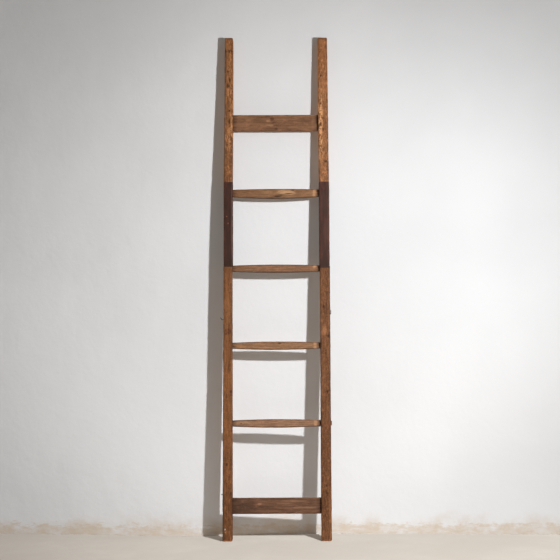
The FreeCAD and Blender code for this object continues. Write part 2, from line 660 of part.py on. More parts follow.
def draw_bend(path, sign, start, bend_start, name):
    """A path out of the stile: straight, round a bend and up along a straight tail."""
    height, radius = f"Sizes.{name}_height", f"Sizes.{name}_bend_radius"
    angle, tail = f"Sizes.{name}_angle", f"Sizes.{name}_tail"
    turn, bend = math.radians(number(angle)), number(radius)
    buried_end = FreeCAD.Vector(sign * number(start), number(height), 0)
    bend_from = FreeCAD.Vector(sign * number(bend_start), number(height), 0)
    centre = bend_from + FreeCAD.Vector(0, bend, 0)
    bend_to = centre + FreeCAD.Vector(sign * bend * math.sin(turn), -bend * math.cos(turn), 0)
    rise = FreeCAD.Vector(sign * math.cos(turn), math.sin(turn), 0)
    circle = Part.Circle(centre, FreeCAD.Vector(0, 0, 1), bend)
    lowest = -math.pi / 2
    span = (lowest, lowest + turn) if sign > 0 else (lowest - turn, lowest)
    near_end, far_end = (START, END) if sign > 0 else (END, START)
    path.addGeometry(Part.LineSegment(buried_end, bend_from))
    path.addGeometry(Part.ArcOfCircle(circle, *span))
    path.addGeometry(Part.LineSegment(bend_to, bend_to + rise * number(tail)))
    path.addConstraint(Sketcher.Constraint("Tangent", 0, END, 1, near_end))
    path.addConstraint(Sketcher.Constraint("Tangent", 1, far_end, 2, START))
    path.addConstraint(Sketcher.Constraint("Horizontal", 0))
    constrain(path, f"{sign} * {start}", "DistanceX", *ORIGIN, 0, START)
    constrain(path, height, "DistanceY", *ORIGIN, 0, START)
    constrain(path, f"{sign} * {bend_start}", "DistanceX", *ORIGIN, 0, END)
    constrain(path, radius, "Radius", 1)
    constrain(path, f"{radius} * (1 - cos({angle} * 1 deg))", "DistanceY", 1, near_end, 1, far_end)
    constrain(path, tail, "Distance", 2)


def bent_nail(side, name):
    """An old nail that stands out of a stile's outer face and turns up."""
    sign = SIDES[side]
    body = new_body(name)
    start = old_nail_start(side, name)
    bend_start = f"({start} + Sizes.nail_embed + Sizes.{name}_stand_out)"
    path = new_sketch(body, f"{name}_path", "XZ_Plane")
    draw_bend(path, sign, start, bend_start, name)
    shank = new_sketch(body, f"{name}_shank", "YZ_Plane", offset=f"{sign} * {start}")
    draw_circle(shank, "0", f"Sizes.{name}_height", "Sizes.nail_radius")
    pipe = body.newObject("PartDesign::AdditivePipe", f"{name}_pipe")
    pipe.Profile = shank
    pipe.Spine = path
    return body


def stub_nail(side, name):
    sign = SIDES[side]
    point = (f"{sign} * {old_nail_start(side, name)}", "0", f"Sizes.{name}_height")
    length = f"(Sizes.nail_embed + Sizes.{name}_stand_out)"
    return nail(name, point, "x", sign, length, f"Sizes.{name}_head_radius")


def build_lower_section():
    stiles = {side: lower_stile(side) for side in SIDES}
    for side, name in (("left", "bent_nail"), ("left", "stub_nail"), ("right", "clenched_nail")):
        bore_old_nail(side, stiles[side], name)
    pieces = [*stiles.values(), *bottom_rail()]
    for name in LOWER_RUNGS:
        pieces += lower_rung(name)
    pieces += [bent_nail("left", "bent_nail"), bent_nail("right", "clenched_nail")]
    pieces.append(stub_nail("left", "stub_nail"))
    return pieces


def build_upper_section():
    stiles = {side: upper_stile(side) for side in SIDES}
    sleeves = {side: sleeve(side) for side in SIDES}
    for side in SIDES:
        bore_sleeve_nails(side, stiles[side], sleeves[side])
    nails = [sleeve_nails(side) for side in SIDES]
    return [*stiles.values(), *top_rail(), *upper_rung(), *sleeves.values(), *nails]


def check(doc, pieces):
    """Stops if anything failed to build."""
    for item in doc.Objects:
        if "Invalid" in item.State or "Error" in item.State:
            raise RuntimeError(f"{item.Label} failed: {item.State}")
    for piece in pieces:
        if piece.Shape.isNull() or not piece.Shape.isValid():
            raise RuntimeError(f"{piece.Label} has no sound shape")


def write(pieces):
    os.makedirs("parts", exist_ok=True)
    for piece in pieces:
        piece.Shape.exportStep(f"parts/{piece.Label}.step")
        print(f"{piece.Label}: {len(piece.Shape.Solids)} solid, {piece.Shape.Volume:.0f} mm3")


def main():
    doc = FreeCAD.newDocument("wooden_ladder")
    add_sheet(doc)
    pieces = build_lower_section() + build_upper_section()
    doc.recompute()
    check(doc, pieces)
    write(pieces)


main()
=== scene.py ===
import json
import math
import random

import bpy
from mathutils import Matrix, Vector, noise

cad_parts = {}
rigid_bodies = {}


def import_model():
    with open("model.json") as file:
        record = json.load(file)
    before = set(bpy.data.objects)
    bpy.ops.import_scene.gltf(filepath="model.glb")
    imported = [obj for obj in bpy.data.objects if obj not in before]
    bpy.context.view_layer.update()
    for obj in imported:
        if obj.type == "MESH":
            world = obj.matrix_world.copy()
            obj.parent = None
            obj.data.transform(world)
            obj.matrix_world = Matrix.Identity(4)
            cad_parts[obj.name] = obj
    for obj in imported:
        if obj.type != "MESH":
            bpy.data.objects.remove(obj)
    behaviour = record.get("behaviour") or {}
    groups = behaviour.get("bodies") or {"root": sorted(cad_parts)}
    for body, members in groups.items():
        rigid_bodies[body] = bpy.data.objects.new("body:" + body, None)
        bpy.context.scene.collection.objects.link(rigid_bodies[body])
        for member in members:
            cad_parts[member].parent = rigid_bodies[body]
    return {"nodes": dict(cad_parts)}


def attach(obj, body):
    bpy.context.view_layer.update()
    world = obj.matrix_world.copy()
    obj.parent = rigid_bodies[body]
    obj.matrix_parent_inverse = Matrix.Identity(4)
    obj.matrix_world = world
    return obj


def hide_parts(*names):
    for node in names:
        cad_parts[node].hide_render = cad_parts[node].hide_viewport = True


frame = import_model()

# Looks of a worn wooden ladder in two sections. Lengths are millimetres, as in the part's source, and are
# brought to metres when a mesh is made. Floor, wall, lamps and camera, at the end, are in metres.
MM = 0.001
SIDES = {"left": -1, "right": 1}
LOWER, UPPER = "lower_section", "upper_section"

STILE_HALF_DEPTH = 21
FOOT_ROUNDING = 5
TIP_ROUNDING = 7.5
LONG_ARRIS = 3.8
LOWER_INNER = 170
FOOT_WIDTH = {"left": 39.5, "right": 40}
SHOULDER_WIDTH = {"left": 34.8, "right": 39.5}
SHOULDER_HEIGHT = {"left": 1053, "right": 1048}
PLUG_TOP = 1301
PLUG_CHAMFER = 2
PLUG_INSET = 1.8
PLUG_ARRIS = 2.7
PLUG_TIP_ARRIS = 0.7
UPPER_FOOT = 1307
SLEEVED_INSET = 1.6
SLEEVED_ARRIS = 2.9
RAIL_EDGE = 1653
TOP_RAIL_INNER = 166.3
TIP = 1959

SLEEVE_TOP = 1386
SLEEVE_WIDTH = {"left": 36, "right": 40.5}
SLEEVE_HALF_DEPTH = 21.7
SLEEVE_INNER = 168.2
SLEEVE_CORNER = 4.5
SHEET = 1.5
SEAM_HALF_GAP = 0.4
NOTCH_GAP = 0.6

# Height, distance of the inner face from the middle, and width
UPPER_STATIONS = {
    "left": ((SLEEVE_TOP, 168.3, 35.8), (RAIL_EDGE, 166.2, 34.8), (TIP, 165.7, 33.3)),
    "right": ((SLEEVE_TOP, 168.35, 40.2), (RAIL_EDGE, 166.2, 40.0), (TIP, 165.7, 39.0)),
}

HEIGHTS = {
    "bottom_rail": 132, "rung_4": 447, "rung_3": 747, "rung_2": 1047, "rung_1": 1343, "top_rail": 1621,
}
# A rung's sizes at its ends and in its middle, and how far its middle sags
RUNG_THICKNESS = (11, 18)
LOWER_RUNG = (25, 33, 0.5)
UPPER_RUNG = (30, 39.5, 2.5)
RAIL_HALF_THICKNESS = 7
RAIL_HALF_WIDTH = {"top_rail": 32, "bottom_rail": 30.5}
TENON_HALF_THICKNESS = 4.5
RUNG_TENON_HALF_HEIGHT = 8.5
RAIL_TENON_HALF_HEIGHT = 22
TENON_PROUD = 0.6
RUNG_4_LONGER = 2.9
FIT = 0.1
WEDGE_LENGTH = 25
WEDGE_HALF_HEAD = 1.5
WEDGE_HALF_POINT = 0.3
RAIL_WEDGE_OFFSET = 11

SMOOTH_ANGLE = math.radians(38)

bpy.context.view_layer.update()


def clamp(value):
    return min(max(value, 0.0), 1.0)


def ease(value):
    value = clamp(value)
    return value * value * (3 - 2 * value)


def mix(first, second, share):
    return first + (second - first) * share


def between(value, stations):
    """Straight interpolation through rows of a place and the amounts there."""
    for (low, *first), (high, *second) in zip(stations, stations[1:]):
        if value <= high:
            share = clamp((value - low) / (high - low))
            return [mix(*pair, share) for pair in zip(first, second)]
    return stations[-1][1:]


def waver(seed, *coordinates):
    """Smooth noise from about -1 to 1."""
    place = Vector((*coordinates, 0, 0)[:3]) + Vector((seed * 17.13, seed * 5.71, seed * 9.37))
    return noise.noise(place)


# Meshes

def rounded_section(half_width, half_depth, radii, flats=7, arcs=5):
    """Points round a rectangle with four rounded corners, each with its outward direction."""
    points = []
    corners = ((1, 1), (-1, 1), (-1, -1), (1, -1))
    for index, (across, deep) in enumerate(corners):
        radius = radii[index]
        centre = (across * (half_width - radius), deep * (half_depth - radius))
        for step in range(arcs + 1):
            angle = math.pi / 2 * (index + step / arcs)
            way = (math.cos(angle), math.sin(angle))
            points.append((centre[0] + radius * way[0], centre[1] + radius * way[1], *way))
        next_across, next_deep = corners[(index + 1) % 4]
        next_radius = radii[(index + 1) % 4]
        way = (round(math.cos(angle)), round(math.sin(angle)))
        end = (
            next_across * (half_width - next_radius) + next_radius * way[0],
            next_deep * (half_depth - next_radius) + next_radius * way[1],
        )
        start = points[-1]
        for step in range(1, flats):
            share = step / flats
            points.append((mix(start[0], end[0], share), mix(start[1], end[1], share), *way))
    return points


def quads(rows, count, closed=True):
    """Faces between neighbouring rows of points. A closed row's last point is joined to its first."""
    faces = []
    for row in range(rows - 1):
        low, high = row * count, (row + 1) * count
        for index in range(count if closed else count - 1):
            following = (index + 1) % count
            faces.append((low + index, low + following, high + following, high + index))
    return faces


def add_object(name, data):
    made = bpy.data.objects.new(name, data)
    bpy.context.scene.collection.objects.link(made)
    return made


def add_mesh(name, points, faces):
    mesh = bpy.data.meshes.new(name)
    mesh.from_pydata(points, [], faces)
    mesh.validate()
    return add_object(name, mesh)


def shade(mesh):
    mesh.shade_smooth()
    mesh.set_sharp_from_angle(angle=SMOOTH_ANGLE)


def add_piece(name, rings, faces, body):
    """A piece that stands for the CAD node of its name. The rings are in millimetres."""
    piece = add_mesh(name, [Vector(point) * MM for ring in rings for point in ring], faces)
    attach(piece, body)
    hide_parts(name)
    shade(piece.data)
    return piece


def skin(name, rings, body):
    """A closed piece through rings of points."""
    count = len(rings[0])
    last = (len(rings) - 1) * count
    faces = [tuple(reversed(range(count))), *quads(len(rings), count), tuple(range(last, last + count))]
    return add_piece(name, rings, faces, body)


def prism(outline, low, high, axis):
    """A solid for cutting: an outline across one axis, from low to high along it."""
    count = len(outline)
    points = []
    for depth in (low, high):
        for first, second in outline:
            point = {"x": (depth, first, second), "y": (first, depth, second)}[axis]
            points.append(Vector(point) * MM)
    faces = [tuple(range(count)), tuple(reversed(range(count, 2 * count)))]
    for index in range(count):
        following = (index + 1) % count
        faces.append((index, count + index, count + following, following))
    return points, faces


def carve(piece, cutters):
    """Cuts solids out of a piece."""
    points, faces = [], []
    for cutter_points, cutter_faces in cutters:
        start = len(points)
        points += cutter_points
        faces += [tuple(start + index for index in face) for face in cutter_faces]
    cutter = add_mesh("cutter", points, faces)
    modifier = piece.modifiers.new("cut", "BOOLEAN")
    modifier.operation = "DIFFERENCE"
    modifier.solver = "EXACT"
    modifier.object = cutter
    bpy.context.view_layer.update()
    graph = bpy.context.evaluated_depsgraph_get()
    carved = bpy.data.meshes.new_from_object(piece.evaluated_get(graph))
    piece.modifiers.clear()
    spent = (piece.data, cutter.data)
    piece.data = carved
    carved.name = piece.name
    bpy.data.objects.remove(cutter)
    for mesh in spent:
        bpy.data.meshes.remove(mesh)
    shade(carved)


def box_cutter(low, high):
    """A box for cutting, from its lowest corner to its highest."""
    outline = [(low[1], low[2]), (high[1], low[2]), (high[1], high[2]), (low[1], high[2])]
    return prism(outline, low[0], high[0], "x")


def mark(piece, name, amount):
    """Writes a number between 0 and 1 to each point, for the materials."""
    layer = piece.data.attributes.new(name, "FLOAT", "POINT")
    layer.data.foreach_set("value", [amount(point.co / MM) for point in piece.data.vertices])


def edge_share(distances, reach):
    """How near a point is to an edge, from its distances to the faces."""
    first, second = sorted(max(distance, 0.0) for distance in distances)[:2]
    return ease(1.25 - math.hypot(first, second) / reach)


# Wear

def make_dents(seed, low, high, count, deepest, longest):
    """Dents along the arrises: place along the piece, corner, half length and depth."""
    dice = random.Random(seed)
    dents = []
    for _ in range(count):
        depth = deepest * dice.uniform(0.25, 1) ** 1.5
        place, corner = dice.uniform(low, high), dice.randrange(4)
        dents.append((place, corner, longest * dice.uniform(0.25, 1), depth))
    return dents


def dent_depth(dents, along, way):
    """How far the dents push the surface in at a place, where it faces a given way."""
    depth = 0.0
    for place, corner, half_length, deepest in dents:
        gap = abs(along - place) / half_length
        if gap < 1:
            angle = math.pi / 2 * (corner + 0.5)
            facing = way[0] * math.cos(angle) + way[1] * math.sin(angle)
            depth += deepest * ease(1 - gap) * ease((facing - 0.72) / 0.28)
    return depth


def worn_ring(centre, half, radii, along, seed, roughness, dents, place):
    """One ring of a worn piece. roughness holds pairs of (wavelength, depth)."""
    ring = []
    for u, v, way_u, way_v in rounded_section(*half, radii):
        depth = dent_depth(dents, along, (way_u, way_v))
        for layer, (wavelength, deepest) in enumerate(roughness):
            value = waver(seed + layer, u / wavelength, v / wavelength, along / wavelength / 2.2)
            depth += deepest * clamp(0.5 + 0.5 * value)
        ring.append(place(centre[0] + u - way_u * depth, centre[1] + v - way_v * depth, along))
    return ring


def arris_radii(seed, along):
    """The radii of a stile's four long arrises, which waver along it."""
    return [LONG_ARRIS + 1.2 * waver(seed + corner * 3.3, along / 70, corner) for corner in range(4)]


# Stiles

def upright(u, v, along):
    return (u, v, along)


def lower_shaft(side, height):
    """Middle and half width of a lower stile at a height."""
    share = height / SHOULDER_HEIGHT[side]
    width = mix(FOOT_WIDTH[side], SHOULDER_WIDTH[side], share)
    return SIDES[side] * (LOWER_INNER + width / 2), width / 2


def sleeve_centre(side):
    return SIDES[side] * (SLEEVE_INNER + SLEEVE_WIDTH[side] / 2)


def upper_shaft(side, height):
    """Middle and half width of an upper stile at a height."""
    inner, width = between(height, UPPER_STATIONS[side])
    return SIDES[side] * (inner + width / 2), width / 2


def outer_face(shaft, side, height):
    centre, half_width = shaft(side, height)
    return abs(centre) + half_width


def end_rings(end_height, inward, shaft, radius, **ring_settings):
    """Rings that round the end of a stile. inward is 1 at its foot and -1 at its tip."""
    rings = []
    for angle in (0, 18, 36, 54, 72):
        inset = radius * (1 - math.sin(math.radians(angle)))
        height = end_height + inward * radius * (1 - math.cos(math.radians(angle)))
        centre, half_width = shaft(height)
        half = (half_width - inset, STILE_HALF_DEPTH - inset)
        radii = [max(LONG_ARRIS - inset, 0.5)] * 4
        rings.append(worn_ring((centre, 0), half, radii, height, place=upright, **ring_settings))
    return rings if inward > 0 else rings[::-1]


def heights(low, high, step):
    count = max(1, round((high - low) / step))
    return [mix(low, high, index / count) for index in range(count + 1)]


def tenon_half_height(name):
    return RAIL_TENON_HALF_HEIGHT if "rail" in name else RUNG_TENON_HALF_HEIGHT


def mortise(name, side):
    """A cutter for the hole of a crosspiece's tenon, right through the stile."""
    middle, reach = SIDES[side] * 190, 40
    half, half_height = TENON_HALF_THICKNESS + FIT, tenon_half_height(name)
    low, high = HEIGHTS[name] - half_height - FIT, HEIGHTS[name] + half_height + FIT
    return box_cutter((middle - reach, -half, low), (middle + reach, half, high))


def shaft_rings(shaft, low, high, step, **ring_settings):
    """Rings of the worn length of a stile."""
    rings = []
    for height in heights(low, high, step):
        centre, half_width = shaft(height)
        half, radii = (half_width, STILE_HALF_DEPTH), arris_radii(ring_settings["seed"], height)
        rings.append(worn_ring((centre, 0), half, radii, height, place=upright, **ring_settings))
    return rings


def sleeved_rings(side, inset, arris, ring_heights, seed, chamfer=0):
    """Rings of the length that the sleeve hides, inset from the sleeve's outer faces."""
    half = [size - inset - chamfer for size in (SLEEVE_WIDTH[side] / 2, SLEEVE_HALF_DEPTH)]
    centre = (sleeve_centre(side), 0)
    return [
        worn_ring(centre, half, [arris] * 4, height, seed, [(40, 0.15)], [], upright)
        for height in ring_heights
    ]


def finish_stile(stile, side, shaft, low, high, crosspieces, painted_arris_shade):
    """Cuts a stile's mortises. Marks its worn edges, marks the corners at its crosspieces for darkening,
    and marks painted shade on its outer front arris, as strong as the last argument says. crosspieces hold
    (name, half height)."""
    carve(stile, [mortise(name, side) for name, half_height in crosspieces])

    def edge(point):
        centre, half_width = shaft(point.z)
        side_gap = half_width - abs(point.x - centre)
        return edge_share([side_gap, STILE_HALF_DEPTH - abs(point.y), point.z - low, high - point.z], 9)

    def darkening_and_painted_shade(point):
        centre, half_width = shaft(point.z)
        inner_gap = half_width + (point.x - centre) * (1 if centre > 0 else -1)
        inward = ease(1 - inner_gap / 5)
        amount = 0.0
        for name, half_height in crosspieces:
            gap = max(0.0, abs(point.z - HEIGHTS[name]) - half_height)
            amount = max(amount, ease(1 - gap / 16) * inward)
        # Painted shade: a dark line down the outer front arris
        if point.y < 0:
            outer_gap = 2 * half_width - inner_gap
            front_gap = STILE_HALF_DEPTH + point.y
            amount = max(amount, painted_arris_shade * ease(1 - outer_gap / 6) * ease(1 - front_gap / 8))
        return amount

    mark(stile, "edge", edge)
    mark(stile, "darkening_and_painted_shade", darkening_and_painted_shade)
    return stile


def lower_stile(side):
    seed = 11 if side == "left" else 23
    shoulder = SHOULDER_HEIGHT[side]
    settings = {
        "seed": seed,
        "roughness": [(120, 0.5), (26, 0.35), (9, 0.12)],
        "dents": make_dents(seed, 15, shoulder - 20, 34, 2.6, 26),
    }

    def shaft(height):
        return lower_shaft(side, height)

    rings = end_rings(0, 1, shaft, FOOT_ROUNDING, **settings)
    rings += shaft_rings(shaft, FOOT_ROUNDING, shoulder, 4, **settings)
    plug_heights = heights(shoulder, PLUG_TOP - PLUG_CHAMFER, 9)
    rings += sleeved_rings(side, PLUG_INSET, PLUG_ARRIS, plug_heights, seed)
    rings += sleeved_rings(side, PLUG_INSET, PLUG_TIP_ARRIS, [PLUG_TOP], seed, PLUG_CHAMFER)
    stile = skin(f"{side}_lower_stile", rings, LOWER)
    crosspieces = [("bottom_rail", 30), ("rung_4", 13), ("rung_3", 13), ("rung_2", 13)]
    # How strong the painted shade on the outer front arris is
    painted_arris_shade = 1.0 if side == "left" else 0.75
    return finish_stile(stile, side, shaft, 0, PLUG_TOP, crosspieces, painted_arris_shade)


def upper_stile(side):
    seed = 37 if side == "left" else 49
    settings = {
        "seed": seed,
        "roughness": [(110, 0.4), (24, 0.45), (8, 0.3)],
        "dents": make_dents(seed, SLEEVE_TOP + 10, TIP - 15, 22, 2.2, 20),
    }

    def shaft(height):
        return upper_shaft(side, height)

    rings = sleeved_rings(side, SLEEVED_INSET, SLEEVED_ARRIS, heights(UPPER_FOOT, SLEEVE_TOP, 9), seed)
    rings += shaft_rings(shaft, SLEEVE_TOP, TIP - TIP_ROUNDING, 3.5, **settings)
    rings += end_rings(TIP, -1, shaft, TIP_ROUNDING, **settings)
    stile = skin(f"{side}_upper_stile", rings, UPPER)
    crosspieces = [("rung_1", 15), ("top_rail", 32)]
    # 0.6 is how strong the painted shade on the outer front arris is
    return finish_stile(stile, side, shaft, UPPER_FOOT, TIP, crosspieces, 0.6)


# Crosspieces

def crosswise(u, v, along):
    return (along, u, v)


def wedge_slot(side, outer_end, height):
    """A cutter for the slot of a wedge, in the end of a tenon and a little beyond."""
    beyond, half_depth = 2, 8
    sign = SIDES[side]
    start, end = sign * (outer_end - WEDGE_LENGTH), sign * (outer_end + beyond)
    spread = (WEDGE_HALF_HEAD - WEDGE_HALF_POINT) * beyond / WEDGE_LENGTH
    outline = [
        (start, height - WEDGE_HALF_POINT), (end, height - WEDGE_HALF_HEAD - spread),
        (end, height + WEDGE_HALF_HEAD + spread), (start, height + WEDGE_HALF_POINT),
    ]
    return prism(outline, -half_depth, half_depth, "y")


def add_crosspiece(name, ends, wedge_heights, profile, shoulders, seed, roughness, dents):
    """A crosspiece from tenon to tenon. profile gives its section along it, and shoulders is how far
    they are from its middle."""
    tenon_half = (TENON_HALF_THICKNESS, tenon_half_height(name))

    def tenon_rings(low, high):
        return [
            worn_ring((0, HEIGHTS[name]), tenon_half, [0.4] * 4, place, seed, [(12, 0.08)], [], crosswise)
            for place in heights(low, high, 10)
        ]

    left_end, right_end = ends
    rings = tenon_rings(-left_end, -shoulders)
    for place in heights(-shoulders, shoulders, 4):
        middle, half, radii = profile(place)
        rings.append(worn_ring((0, middle), half, radii, place, seed, roughness, dents, crosswise))
    rings += tenon_rings(shoulders, right_end)
    piece = skin(name, rings, UPPER if name in ("rung_1", "top_rail") else LOWER)
    carve(piece, [wedge_slot(*end, height) for end in zip(SIDES, ends) for height in wedge_heights])

    def edge(point):
        middle, half, radii = profile(point.x)
        gaps = [half[0] - abs(point.y), half[1] - abs(point.z - middle)]
        return edge_share(gaps, 0.5 * min(half) + 1)

    mark(piece, "edge", edge)
    # Darker towards the shoulders, where the crosspiece meets the stiles
    mark(piece, "darkening_and_painted_shade", lambda point: ease(1 - (shoulders - abs(point.x)) / 22))
    return piece


def rung(name):
    height = HEIGHTS[name]
    seed = 60 + 7 * int(name[-1])
    upper = name == "rung_1"
    end_height, middle_height, sag = UPPER_RUNG if upper else LOWER_RUNG
    half_length = (SLEEVE_INNER if upper else LOWER_INNER) - FIT

    def profile(place):
        share = clamp(abs(place) / half_length)
        bow, swell = 1 - share**2, 1 - share**4
        half_height = mix(end_height, middle_height, bow) / 2
        half_thickness = mix(*RUNG_THICKNESS, swell) / 2
        radii = [
            0.8 * half_thickness * (1 - 0.12 * clamp(waver(seed + corner, place / 60, corner)))
            for corner in range(4)
        ]
        return height - sag * bow, (half_thickness, half_height), radii

    if upper:
        ends = [SLEEVE_INNER + SLEEVE_WIDTH[side] + TENON_PROUD for side in SIDES]
    else:
        ends = [outer_face(lower_shaft, side, height) + TENON_PROUD for side in SIDES]
    if name == "rung_4":
        ends[1] += RUNG_4_LONGER
    return add_crosspiece(
        name, ends, [height], profile, half_length, seed,
        [(60, 0.35), (17, 0.4), (6, 0.12)], make_dents(seed, -150, 150, 9, 1.4, 20),
    )


def rail(name):
    height = HEIGHTS[name]
    upper = name == "top_rail"
    half_length = (TOP_RAIL_INNER if upper else LOWER_INNER) - FIT
    seed = 91 if upper else 97

    def profile(place):
        radii = [1.5 + 0.35 * waver(seed + corner, place / 45, corner) for corner in range(4)]
        return height, (RAIL_HALF_THICKNESS, RAIL_HALF_WIDTH[name]), radii

    shaft = upper_shaft if upper else lower_shaft
    ends = [outer_face(shaft, side, height) + TENON_PROUD for side in SIDES]
    return add_crosspiece(
        name, ends, [height - RAIL_WEDGE_OFFSET, height + RAIL_WEDGE_OFFSET], profile,
        half_length, seed, [(90, 0.3), (22, 0.25), (7, 0.1)], make_dents(seed, -140, 140, 12, 1.6, 14),
    )


# Sleeves

def open_path(half_width, half_depth, radius):
    """Points round a sleeve's section from one side of its seam, at the back, to the other."""
    flats, arcs = 8, 6
    points = rounded_section(half_width, half_depth, [radius] * 4, flats, arcs)
    middle = arcs + flats // 2
    start, end = [(gap, half_depth, 0, 1) for gap in (-SEAM_HALF_GAP, SEAM_HALF_GAP)]
    return [start, *points[middle + 1:], *points[:middle], end]


def sleeve(side):
    """Sheet iron bent round the stile, its two edges meeting at the back."""
    seed = 71 if side == "left" else 83
    centre = sleeve_centre(side)
    half_width = SLEEVE_WIDTH[side] / 2
    outer = open_path(half_width, SLEEVE_HALF_DEPTH, SLEEVE_CORNER)
    inner = open_path(half_width - SHEET, SLEEVE_HALF_DEPTH - SHEET, SLEEVE_CORNER - SHEET)
    low, high = SHOULDER_HEIGHT[side], SLEEVE_TOP
    rings = []
    for height in heights(low, high, 4):
        ring = []
        end_gap = min(height - low, high - height)
        for u, v, way_u, way_v in outer:
            wave = 0.32 * clamp(0.5 + 0.9 * waver(seed, u / 30, v / 30, height / 55))
            fine = 0.12 * clamp(0.5 + waver(seed + 1, u / 9, v / 9, height / 14))
            depth = wave + fine + 0.35 * ease(1 - end_gap / 2.5)
            ring.append((centre + u - way_u * depth, v - way_v * depth, height))
        ring += [(centre + u, v, height) for u, v, way_u, way_v in reversed(inner)]
        trim = 0.7 if height == high else 0.0
        rings.append([
            (x, y, z - trim * clamp(0.5 + waver(seed + 2, x / 12, y / 12))) for x, y, z in ring
        ])
    count = len(rings[0])
    faces = quads(len(rings), count)
    last = (len(rings) - 1) * count
    for index in range(len(outer) - 1):
        inside, next_inside = count - 1 - index, count - 2 - index
        faces.append((index, inside, next_inside, index + 1))
        faces.append((last + index, last + index + 1, last + next_inside, last + inside))
    piece = add_piece(f"{side}_sleeve", rings, faces, UPPER)
    notch_half = RUNG_THICKNESS[0] / 2 + NOTCH_GAP
    notch_top = HEIGHTS["rung_2"] + LOWER_RUNG[0] / 2 + NOTCH_GAP
    notch = box_cutter((centre - 40, -notch_half, low - 5), (centre + 40, notch_half, notch_top))
    carve(piece, [notch, mortise("rung_1", side)])

    def edge(point):
        side_gap = half_width - abs(point.x - centre)
        gaps = [side_gap, SLEEVE_HALF_DEPTH - abs(point.y), point.z - low, high - point.z]
        return edge_share(gaps, 7)

    mark(piece, "edge", edge)
    # Darker towards the sleeve's lower end
    mark(piece, "darkening_and_painted_shade", lambda point: ease(1 - (point.z - low) / 40))
    return piece


# Materials

class Tree:
    """The nodes of a material or world, built with short calls. Values are numbers or outputs."""

    def __init__(self, owner):
        self.owner = owner
        owner.use_nodes = True
        self.nodes = owner.node_tree.nodes
        self.links = owner.node_tree.links
        self.nodes.clear()

    def feed(self, socket, value):
        if isinstance(value, bpy.types.NodeSocket):
            self.links.new(value, socket)
        else:
            socket.default_value = value

    def node(self, kind, sockets, **settings):
        made = self.nodes.new(kind)
        for key, value in settings.items():
            setattr(made, key, value)
        for key, value in sockets.items():
            self.feed(made.inputs[key], value)
        return made

    def math(self, operation, *values):
        return self.node("ShaderNodeMath", dict(enumerate(values)), operation=operation).outputs[0]

    def times(self, first, second):
        return self.math("MULTIPLY", first, second)

    def plus(self, first, second, share):
        return self.math("ADD", first, self.times(second, share))

    def minus(self, first, second, share):
        return self.math("SUBTRACT", first, self.times(second, share))

    def vector(self, operation, *values):
        made = self.node("ShaderNodeVectorMath", dict(enumerate(values)), operation=operation)
        return made.outputs["Value" if operation in ("LENGTH", "DOT_PRODUCT", "DISTANCE") else "Vector"]

    def stretch(self, coordinates, across, along):
        """Coordinates divided by a size across the grain and one along it."""
        return self.vector("DIVIDE", coordinates, (across, across, along))

    def noise(self, coordinates, scale, detail, roughness=0.5, distortion=0.0):
        return self.node("ShaderNodeTexNoise", {
            "Vector": coordinates, "Scale": scale, "Detail": detail, "Roughness": roughness,
            "Distortion": distortion,
        }).outputs["Fac"]

    def span(self, value, low, high, to_low=0.0, to_high=1.0):
        """A value brought smoothly from one range to another."""
        return self.node("ShaderNodeMapRange", {
            "Value": value, "From Min": low, "From Max": high, "To Min": to_low, "To Max": to_high,
        }, interpolation_type="SMOOTHSTEP").outputs["Result"]

    def tint(self, tone, share, other):
        """A tone that gives way to another by a share."""
        return self.node("ShaderNodeMix", {0: share, 6: tone, 7: other}, data_type="RGBA").outputs[2]

    def mix_shaders(self, share, first, second):
        return self.node("ShaderNodeMixShader", {0: share, 1: first, 2: second}).outputs["Shader"]

    def attribute(self, name):
        return self.node("ShaderNodeAttribute", {}, attribute_name=name).outputs["Fac"]

    def surface(self, tone, gloss, height, depth):
        """A surface's shader node, with its bump."""
        bump = self.node("ShaderNodeBump", {"Height": height, "Distance": depth, "Strength": 1.0})
        return self.node("ShaderNodeBsdfPrincipled", {
            "Base Color": tone, "Roughness": gloss, "Normal": bump.outputs["Normal"],
        })

    def end(self, shader, kind="ShaderNodeOutputMaterial"):
        self.node(kind, {"Surface": shader})
        return self.owner

    def finish(self, tone, gloss, height, depth, specular, metallic=0.0):
        shader = self.surface(tone, gloss, height, depth)
        shader.inputs["Specular IOR Level"].default_value = specular
        shader.inputs["Metallic"].default_value = metallic
        return self.end(shader.outputs["BSDF"])


def material_tree(name):
    return Tree(bpy.data.materials.new(name))


def colour(tone, level=1.0):
    """The linear colour that a shader takes, from the parts that show on a screen, 0 to 255."""
    linear = []
    for amount in tone:
        share = min(255, level * amount) / 255
        linear.append(share / 12.92 if share <= 0.04045 else ((share + 0.055) / 1.055) ** 2.4)
    return (*linear, 1.0)


def grain_coordinates(tree, along, seed):
    """Object coordinates in millimetres, turned so that the grain runs along z."""
    place = tree.node("ShaderNodeTexCoord", {}).outputs["Object"]
    parts = tree.node("ShaderNodeSeparateXYZ", {"Vector": place})
    order = {"z": ("X", "Y", "Z"), "x": ("Y", "Z", "X")}[along]
    joined = tree.node("ShaderNodeCombineXYZ", {
        target: parts.outputs[source] for target, source in zip("XYZ", order)
    })
    scaled = tree.vector("SCALE", joined.outputs["Vector"])
    scaled.node.inputs["Scale"].default_value = 1 / MM
    return scaled, tree.vector("ADD", scaled, (seed * 71.3, seed * 37.9, seed * 113.7))


def spot(tree, place, shifted, middle, across, length, soft=0.35):
    """A patch with a ragged border: the distance from its middle, 1 at the border, and its share."""
    offset = tree.vector("SUBTRACT", place, middle)
    distance = tree.vector("LENGTH", tree.stretch(offset, across, length))
    wobble = tree.noise(tree.stretch(shifted, 0.9 * across, 0.9 * length), 1, 3, 0.6)
    distance = tree.math("ADD", distance, tree.math("MULTIPLY_ADD", wobble, 1.6, -0.8))
    return distance, tree.span(distance, 1.0 + soft, 1.0 - soft)


